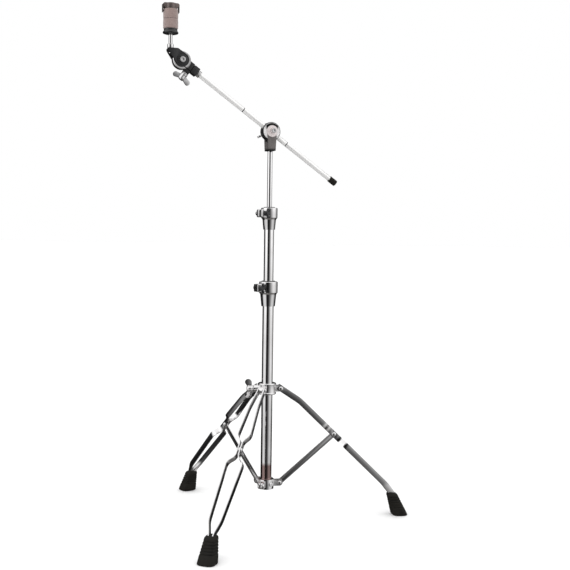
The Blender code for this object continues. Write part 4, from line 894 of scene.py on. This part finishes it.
def makeLeg(index):
    b = legBars
    label = "leg%d" % (index + 1)
    node = "leg_%d_" % (index + 1)
    at = legFrame(index)
    for side, word, nodeWord in ((1, "StripLeft", "strip_left"), (-1, "StripRight", "strip_right")):
        holes = [moved(across(collars["pinR"] + runGap, 30 * mm), place(pivotRadius, 0, upperPivotZ)),
                 moved(across(collars["pinR"] + fixedGap, 30 * mm), place(middleRadius, 0, middleZ))]
        piece(label + word, makeStrip(side), at, [node + nodeWord], edge=0.55 * mm, cuts=holes)
    grip = collars["lugHalfT"] + runGap + b["t"] + runGap
    piece(label + "TopBolt", pinShape(grip), at @ place(pivotRadius, 0, upperPivotZ) @ front,
          [node + "top_bolt"], edge=0.2 * mm)
    rivetGrip = b["braceT"] / 2 + runGap + b["t"] + fixedGap
    piece(label + "MidRivet", pinShape(rivetGrip), at @ place(middleRadius, 0, middleZ) @ front,
          [node + "mid_rivet"], edge=0.2 * mm)
    lowGrip = b["braceT"] / 2 + runGap + collars["cheekT"] + fixedGap
    piece("brace%dBolt" % (index + 1), pinShape(lowGrip), at @ place(pivotRadius, 0, lowerPivotZ) @ front,
          ["brace_%d_bolt" % (index + 1)], edge=0.2 * mm)
    reach = middleRadius - pivotRadius
    rise = middleZ - lowerPivotZ
    slope = atan2(rise, reach)
    half = b["braceWidth"] / 2
    outline = arc((0, 0), half, slope + pi / 2, slope + 3 * pi / 2, 24)
    outline += arc((reach, rise), half, slope - pi / 2, slope + pi / 2, 24)
    holes = [across(collars["pinR"] + runGap, 10 * mm),
             moved(across(collars["pinR"] + runGap, 10 * mm), place(reach, 0, rise))]
    piece("brace%d" % (index + 1), slab(outline, -b["braceT"] / 2, b["braceT"] / 2),
          at @ place(pivotRadius, 0, lowerPivotZ), ["brace_%d" % (index + 1)], edge=0.5 * mm, cuts=holes)
    piece(label + "Boot", makeBoot(), at, [node + "foot"], edge=0.35 * mm, segments=2)


yoke = {**inMm(drumR=23.3, drumHalf=12, cheekT=4.5, cheekHalfW=11.7, footHalfW=9.6, drop=49, baseHeight=22,
            top=20, pinR=3.5, headR=6.3, headT=15, hub=(7.5, 14), rodIn=15.4, wings=(4, 17, 28, 4.5)),
            "wingTurn": radians(-28.0)}
boom = inMm(radius=6.35, wall=1.6, capReach=198, tilterReach=283, marks=(-51.6, 88.4), markWidth=1.6,
            markDepth=0.5, capR=8, capLength=22, capFloor=3)


def makeBoomClamp():
    y = yoke
    inner = y["drumHalf"] + runGap
    outer = inner + y["cheekT"]
    low = -y["drop"]
    joins = []
    for side in (1, -1):
        near, far = sorted((side * inner, side * outer))
        outline = [(-y["footHalfW"], low + 2 * mm), (y["footHalfW"], low + 2 * mm), (y["cheekHalfW"], -6 * mm)]
        start = acos(y["cheekHalfW"] / y["top"]) * 0.75
        outline += arc((0, 0), y["top"], start, pi - start, 24) + [(-y["cheekHalfW"], -6 * mm)]
        joins.append(slab(outline, near, far))
    base = box((-y["footHalfW"], -outer, low), (y["footHalfW"], outer, low + y["baseHeight"]))
    cuts = [post(tubes["rodR"] + fixedGap, low - 5 * mm, low + y["rodIn"] + fixedGap),
            across(y["pinR"] + runGap, 30 * mm)]
    piece("boomYoke", base, tiltFrame, ["boom_yoke"], edge=1.2 * mm, joins=joins, cuts=cuts, segments=4,
          look=yokeLook)

    r = y["drumR"]
    h = y["drumHalf"]
    rim = 2.6 * mm
    sink = 0.9 * mm
    profile = [(0, -h + sink), (r - rim - sink, -h + sink), (r - rim, -h), (r - 1.2 * mm, -h), (r, -h + 1.2 * mm),
               (r, -2.2 * mm), (r - 1.1 * mm, -1.1 * mm), (r - 1.1 * mm, 1.1 * mm), (r, 2.2 * mm),
               (r, h - 1.2 * mm), (r - 1.2 * mm, h), (r - rim, h), (r - rim - sink, h - sink), (0, h - sink)]
    bore = boom["radius"] + runGap
    holes = [moved(post(bore, -r - 5 * mm, r + 5 * mm), outward),
             moved(post(y["pinR"] + runGap, bore + 1.7 * mm, h + 5 * mm), front),
             moved(post(y["pinR"] + runGap, 0, h + 5 * mm), back)]
    piece("boomDrum", moved(spun(profile), front), boomFrame, ["boom_drum"], edge=0.35 * mm, cuts=holes,
          look=drumLook)

    pinIn = bore + 2 * mm
    head = outer + fixedGap
    top = head + y["headT"]
    screw = spun([(0, pinIn), (y["pinR"], pinIn), (y["pinR"], head), (y["headR"], head), (y["headR"], top),
                  (0, top)], small)
    piece("boomPivotScrew", screw, tiltFrame @ front, ["boom_pivot_screw"], edge=0.9 * mm,
          cuts=[keyHole(top)])
    seat = outer + 1.0 * mm
    at = tiltFrame @ back @ place(0, 0, seat) @ turn(y["wingTurn"], "Z")
    makeWinged("boomWingBolt", "boom_wing_bolt", at, y["hub"], y["wings"],
               (y["pinR"], bore + runGap - seat, 4 * mm))


def makeBoom():
    m = boom
    along = turn(-pi / 2, "Y")  # lays +Z up the boom, towards the tilter
    ear = band["earTo"]
    end = m["tilterReach"] - ear - 4 * mm
    start = -(m["capReach"] + m["capLength"] - m["capFloor"])
    inner = m["radius"] - m["wall"]
    profile = [(inner, start), (m["radius"], start)]
    for mark in m["marks"]:
        low, high = mark - m["markWidth"] / 2, mark + m["markWidth"] / 2
        profile += [(m["radius"], low), (m["radius"] - m["markDepth"], low),
                    (m["radius"] - m["markDepth"], high), (m["radius"], high)]
    profile += [(m["radius"], end), (inner, end)]
    piece("boomArm", moved(spun(profile), along), boomFrame, ["boom_arm"], edge=0.12 * mm, segments=2,
          look=makeMarkedSatin())
    capFrom = -m["capReach"]
    capTo = capFrom - m["capLength"]
    bore = m["radius"] + fixedGap
    ribs = []
    for rib in range(3):
        at = capFrom - (4 + 4 * rib) * mm
        ribs += [(m["capR"], at), (m["capR"] - 0.5 * mm, at - 0.5 * mm), (m["capR"] - 0.5 * mm, at - 1.3 * mm),
                 (m["capR"], at - 1.8 * mm)]
    cap = [(bore, start - fixedGap), (bore, capFrom), (m["capR"] - 0.8 * mm, capFrom), (m["capR"], capFrom - mm)]
    cap += ribs + [(m["capR"], capTo + 2 * mm), (m["capR"] - 0.6 * mm, capTo + 0.6 * mm),
                   (m["capR"] - 2 * mm, capTo), (0, capTo), (0, start - fixedGap)]
    piece("boomEndCap", moved(spun(cap[-1:] + cap[:-1]), along), boomFrame, ["boom_end_cap"], edge=0.2 * mm)


band = inMm(boreR=14.3, outerR=22.3, halfT=9, slot=2.4, earTo=33, earDepth=19.5, boltAt=25.5, socketLength=16,
            socketHalf=10.5, nutR=9, nutT=8, washerR=8, washerT=2.5, hub=(8, 16), wings=(6, 19, 24, 5))
tilter = inMm(discR=17, plateT=4, setback=27.2, rise=27, halfW=9.5, headR=7, headT=4.5, tailR=6, tailT=4,
              boltR=3)


def makeTilterBand():
    b = band
    bore = b["boreR"] + runGap
    r = b["outerR"]
    h = b["halfT"]
    ringProfile = [(bore, -h), (r - 1.2 * mm, -h), (r, -h + 1.2 * mm), (r, h - 1.2 * mm), (r - 1.2 * mm, h),
                   (bore, h)]
    ear = rounded(box((b["boreR"] + 3 * mm, -h + mm, -b["earDepth"]),
                      (b["earTo"], h - mm, b["earDepth"] * 0.62)), 1.8 * mm, 3)
    cuts = [across(bore, 30 * mm, fine),
            box((b["boreR"] * 0.5, -20 * mm, -b["slot"] - 8 * mm), (b["earTo"] - 2 * mm, 20 * mm, -8 * mm)),
            moved(post(3.4 * mm, -40 * mm, b["earDepth"] * 0.3), place(b["boltAt"], 0, 0))]
    piece("tilterBand", moved(spun(ringProfile), front), hubFrame, ["tilter_band"], edge=0.6 * mm, joins=[ear],
          cuts=cuts, look=bandLook)
    socketFrom = b["earTo"] + fixedGap
    socketTo = socketFrom + b["socketLength"]
    socket = box((socketFrom, -b["socketHalf"], -b["socketHalf"]), (socketTo, b["socketHalf"], b["socketHalf"]))
    bore = moved(post(boom["radius"] + fixedGap, b["earTo"] + 3.7 * mm, socketTo + 5 * mm), outward)
    piece("boomSocket", socket, hubFrame, ["boom_socket"], edge=1.6 * mm, cuts=[bore], segments=4)
    nutFrom = socketTo + fixedGap
    nut = moved(post(b["nutR"], nutFrom, nutFrom + b["nutT"], 6), outward)
    hole = moved(post(boom["radius"] + fixedGap, nutFrom - 5 * mm, nutFrom + 15 * mm), outward)
    piece("boomLockNut", nut, hubFrame, ["boom_lock_nut"], edge=0.7 * mm, cuts=[hole])
    below = hubFrame @ place(b["boltAt"], 0, -b["earDepth"]) @ turn(pi, "X")
    washer = ring(3.4 * mm, b["washerR"], fixedGap, fixedGap + b["washerT"], small)
    piece("tilterWasher", washer, below, ["tilter_washer"], edge=0.6 * mm)
    hubAt = b["washerT"] + mm
    makeWinged("tilterWingBolt", "tilter_wing_bolt", below @ place(0, 0, hubAt), b["hub"], b["wings"],
               (3.0 * mm, -(hubAt + b["earDepth"] + mm), 4 * mm))


def makeTilterBody():
    t = tilter
    hubHalf = band["halfT"] + runGap
    out = hubHalf + t["plateT"]
    arm = Vector((-t["setback"], t["rise"]))
    length = arm.length
    tip = arm * ((length - 3 * mm) / length)
    lean = atan2(arm.y, arm.x)
    taper = acos((t["discR"] - t["halfW"]) / length)
    outline = arc((0, 0), t["discR"], lean + taper, lean - taper + 2 * pi, 40)
    outline += arc((tip.x, tip.y), t["halfW"], lean - taper, lean + taper, 20)
    joins = []
    for side in (1, -1):
        near, far = sorted((side * hubHalf, side * out))
        joins.append(slab(outline, near, far))
    start = band["outerR"] + 1.4 * mm
    sideWay = Vector((-arm.y, arm.x)).normalized()
    first = arm.normalized() * start
    corners = [first + sideWay * t["halfW"], first - sideWay * t["halfW"], tip - sideWay * t["halfW"]]
    bridge = [(p.x, p.y) for p in corners]
    bridge += arc((tip.x, tip.y), t["halfW"], lean - pi / 2, lean + pi / 2, 16)[1:]
    joins.append(slab(bridge[::-1], -out + 0.5 * mm, out - 0.5 * mm))
    cuts = [box((-t["setback"] - 30 * mm, -30 * mm, t["rise"]), (5 * mm, 30 * mm, t["rise"] + 30 * mm)),
            moved(post(4.3 * mm, -14 * mm, 5 * mm), place(-t["setback"], 0, t["rise"])),
            across(3.3 * mm, 40 * mm)]
    discEdge = t["discR"] - 3.2 * mm  # a shallow ring turned in each face round the axle
    for facing in (front, back):
        cuts.append(moved(ring(discEdge, discEdge + 1.3 * mm, out - 0.6 * mm, out + mm), facing))
    piece("tilterBody", across(band["boreR"], out - mm, fine), tilterFrame, ["tilter_body"], edge=0.55 * mm,
          joins=joins, cuts=cuts)
    head = out + fixedGap
    top = head + t["headT"]
    tail = -(head + t["tailT"])
    axle = spun([(0, tail), (t["tailR"], tail), (t["tailR"], -head), (t["boltR"], -head), (t["boltR"], head),
                 (t["headR"], head), (t["headR"], top), (0, top)], small)
    piece("tilterAxle", axle, tilterFrame @ front, ["tilter_axle"], edge=0.7 * mm,
          cuts=[keyHole(top)])


seat = {**inMm(rodR=4.8, threadR=4, nutR=7.6, cupTopR=16.5, flangeR=19.3, footR=13.3, sleeveR=6, feltR=18.5,
            lobeT=0.95, capR=13, lobeHalfW=7, lobeDrop=8, pitch=1.25, threadDepth=0.55, crown=0.5, fuzz=0.28),
            "feltRings": 26, "feltSides": 160}


# How high a node of the seat stands above the rod's shoulder
def localSpan(node):
    low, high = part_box(node)
    return low.z - shoulderLow.z, high.z - shoulderLow.z


def makeSeat():
    s = seat
    rodLow, rodHigh = localSpan("cymbal_rod")
    cupLow, cupHigh = localSpan("seat_cup")
    profile = [(0, rodLow), (s["threadR"], rodLow), (s["threadR"], fixedGap), (s["rodR"], fixedGap),
               (s["rodR"], cupLow - fixedGap)]
    turns = int((rodHigh - 1.5 * mm - cupLow) / s["pitch"])
    for index in range(turns):  # the thread, as a row of turned grooves
        at = cupLow + index * s["pitch"]
        profile += [(s["threadR"], at), (s["threadR"] - s["threadDepth"], at + s["pitch"] / 2)]
    profile += [(s["threadR"], cupLow + turns * s["pitch"]), (s["threadR"] - 0.8 * mm, rodHigh), (0, rodHigh)]
    piece("cymbalRod", spun(profile, small), rodFrame, ["cymbal_rod"], sharp=55)
    nutLow, nutHigh = localSpan("rod_lock_nut")
    flat = 1.2 * mm
    nut = spun([(s["rodR"] + fixedGap, nutLow), (s["nutR"], nutLow), (s["nutR"], nutHigh - 2 * flat),
                (s["nutR"] - flat, nutHigh - flat), (s["nutR"] - flat, nutHigh), (s["rodR"] + fixedGap, nutHigh)],
               small)
    piece("rodLockNut", nut, rodFrame, ["rod_lock_nut"], edge=0.45 * mm)
    bore = s["threadR"] + fixedGap
    cup = [(bore, cupLow), (s["footR"], cupLow), (s["flangeR"] - 0.8 * mm, cupLow + 1.5 * mm),
           (s["flangeR"], cupLow + 3 * mm), (s["flangeR"] - 0.8 * mm, cupLow + 5.5 * mm),
           (s["cupTopR"], cupLow + 8 * mm), (s["cupTopR"], cupHigh), (bore, cupHigh)]
    piece("seatCup", spun(cup), rodFrame, ["seat_cup"], edge=0.6 * mm)
    low, high = localSpan("seat_sleeve")
    piece("seatSleeve", ring(bore, s["sleeveR"], low, high, small), rodFrame, ["seat_sleeve"], edge=0.5 * mm)
    for name, node in (("lowerFelt", "lower_felt"), ("upperFelt", "upper_felt")):
        makeFeltPad(name, node)


# A pressed felt washer: crowned, soft at its rims, with an uneven matted skin
def makeFeltPad(name, node):
    s = seat
    low, high = localSpan(node)
    height = high - low
    rings = s["feltRings"]
    side = []
    for index in range(rings + 1):
        t = index / rings
        edge = min(t, 1 - t) * height
        soft = max(0.0, 1 - edge / (0.9 * mm))
        bulge = s["crown"] * (1 - (2 * t - 1) ** 2)
        side.append((s["feltR"] - s["crown"] - 0.8 * mm * (1 - (1 - soft ** 2) ** 0.5) + bulge, low + t * height))
    bore = s["sleeveR"] + runGap
    rimOut = [(bore + (side[0][0] - bore) * k / 8, low) for k in range(8)]
    rimIn = [(bore + (side[-1][0] - bore) * k / 8, high) for k in range(7, -1, -1)]
    bm = spun(rimOut + side + rimIn, s["feltSides"])
    made = piece(name, bm, rodFrame, [node], sharp=60)
    cloud = bpy.data.textures.new(name + "Fuzz", "CLOUDS")
    cloud.noise_scale = 0.0032
    cloud.noise_depth = 4
    change = made.modifiers.new("fuzz", "DISPLACE")
    change.texture = cloud
    change.texture_coords = "LOCAL"
    change.strength = s["fuzz"] * 2
    change.mid_level = 0.72
    settle(made)
    return made


def makeQuickRelease():
    s = seat
    nutLow = localSpan("upper_felt")[1] + runGap
    nutHigh = localSpan("quick_release_nut")[1]
    half = s["feltR"] + 0.8 * mm + s["lobeT"]
    tip = 5.2 * mm
    bar = [(-half + tip, nutLow + 1.2 * mm), (half - tip, nutLow + 1.2 * mm)]
    bar += arc((half - tip, nutHigh - tip), tip, 0, pi / 2, 14)
    bar += arc((-half + tip, nutHigh - tip), tip, pi / 2, pi, 14)
    joins = [slab(bar, -8 * mm, 8 * mm)]
    for side in (0, 1):
        lobe = box((s["feltR"] + 0.8 * mm, -s["lobeHalfW"], nutLow - s["lobeDrop"]),
                   (half, s["lobeHalfW"], nutHigh - 3 * mm))
        joins.append(moved(lobe, turn(side * pi, "Z")))
    hole = post(s["threadR"] + runGap, nutLow - 5 * mm, nutHigh - 3 * mm)
    piece("quickReleaseNut", post(s["capR"], nutLow, nutHigh, fine), rodFrame, ["quick_release_nut"],
          edge=0.8 * mm, joins=joins, cuts=[hole], look=darkCasting)


makeTubes()
for clamp in clamps:
    makeClamp(clamp)
print("stage: column done")
makeLegCollar()
makeLowerCollar()
for leg in range(3):
    makeLeg(leg)
print("stage: tripod done")
makeBoomClamp()
makeBoom()
makeTilterBand()
makeTilterBody()
makeSeat()
makeQuickRelease()
print("stage: boom, tilter and seat done")

for node, carried in frame["nodes"].items():  # any CAD node still shown gets its finish
    carried.data.materials.clear()
    carried.data.materials.append(finishes[slotOf[node]])
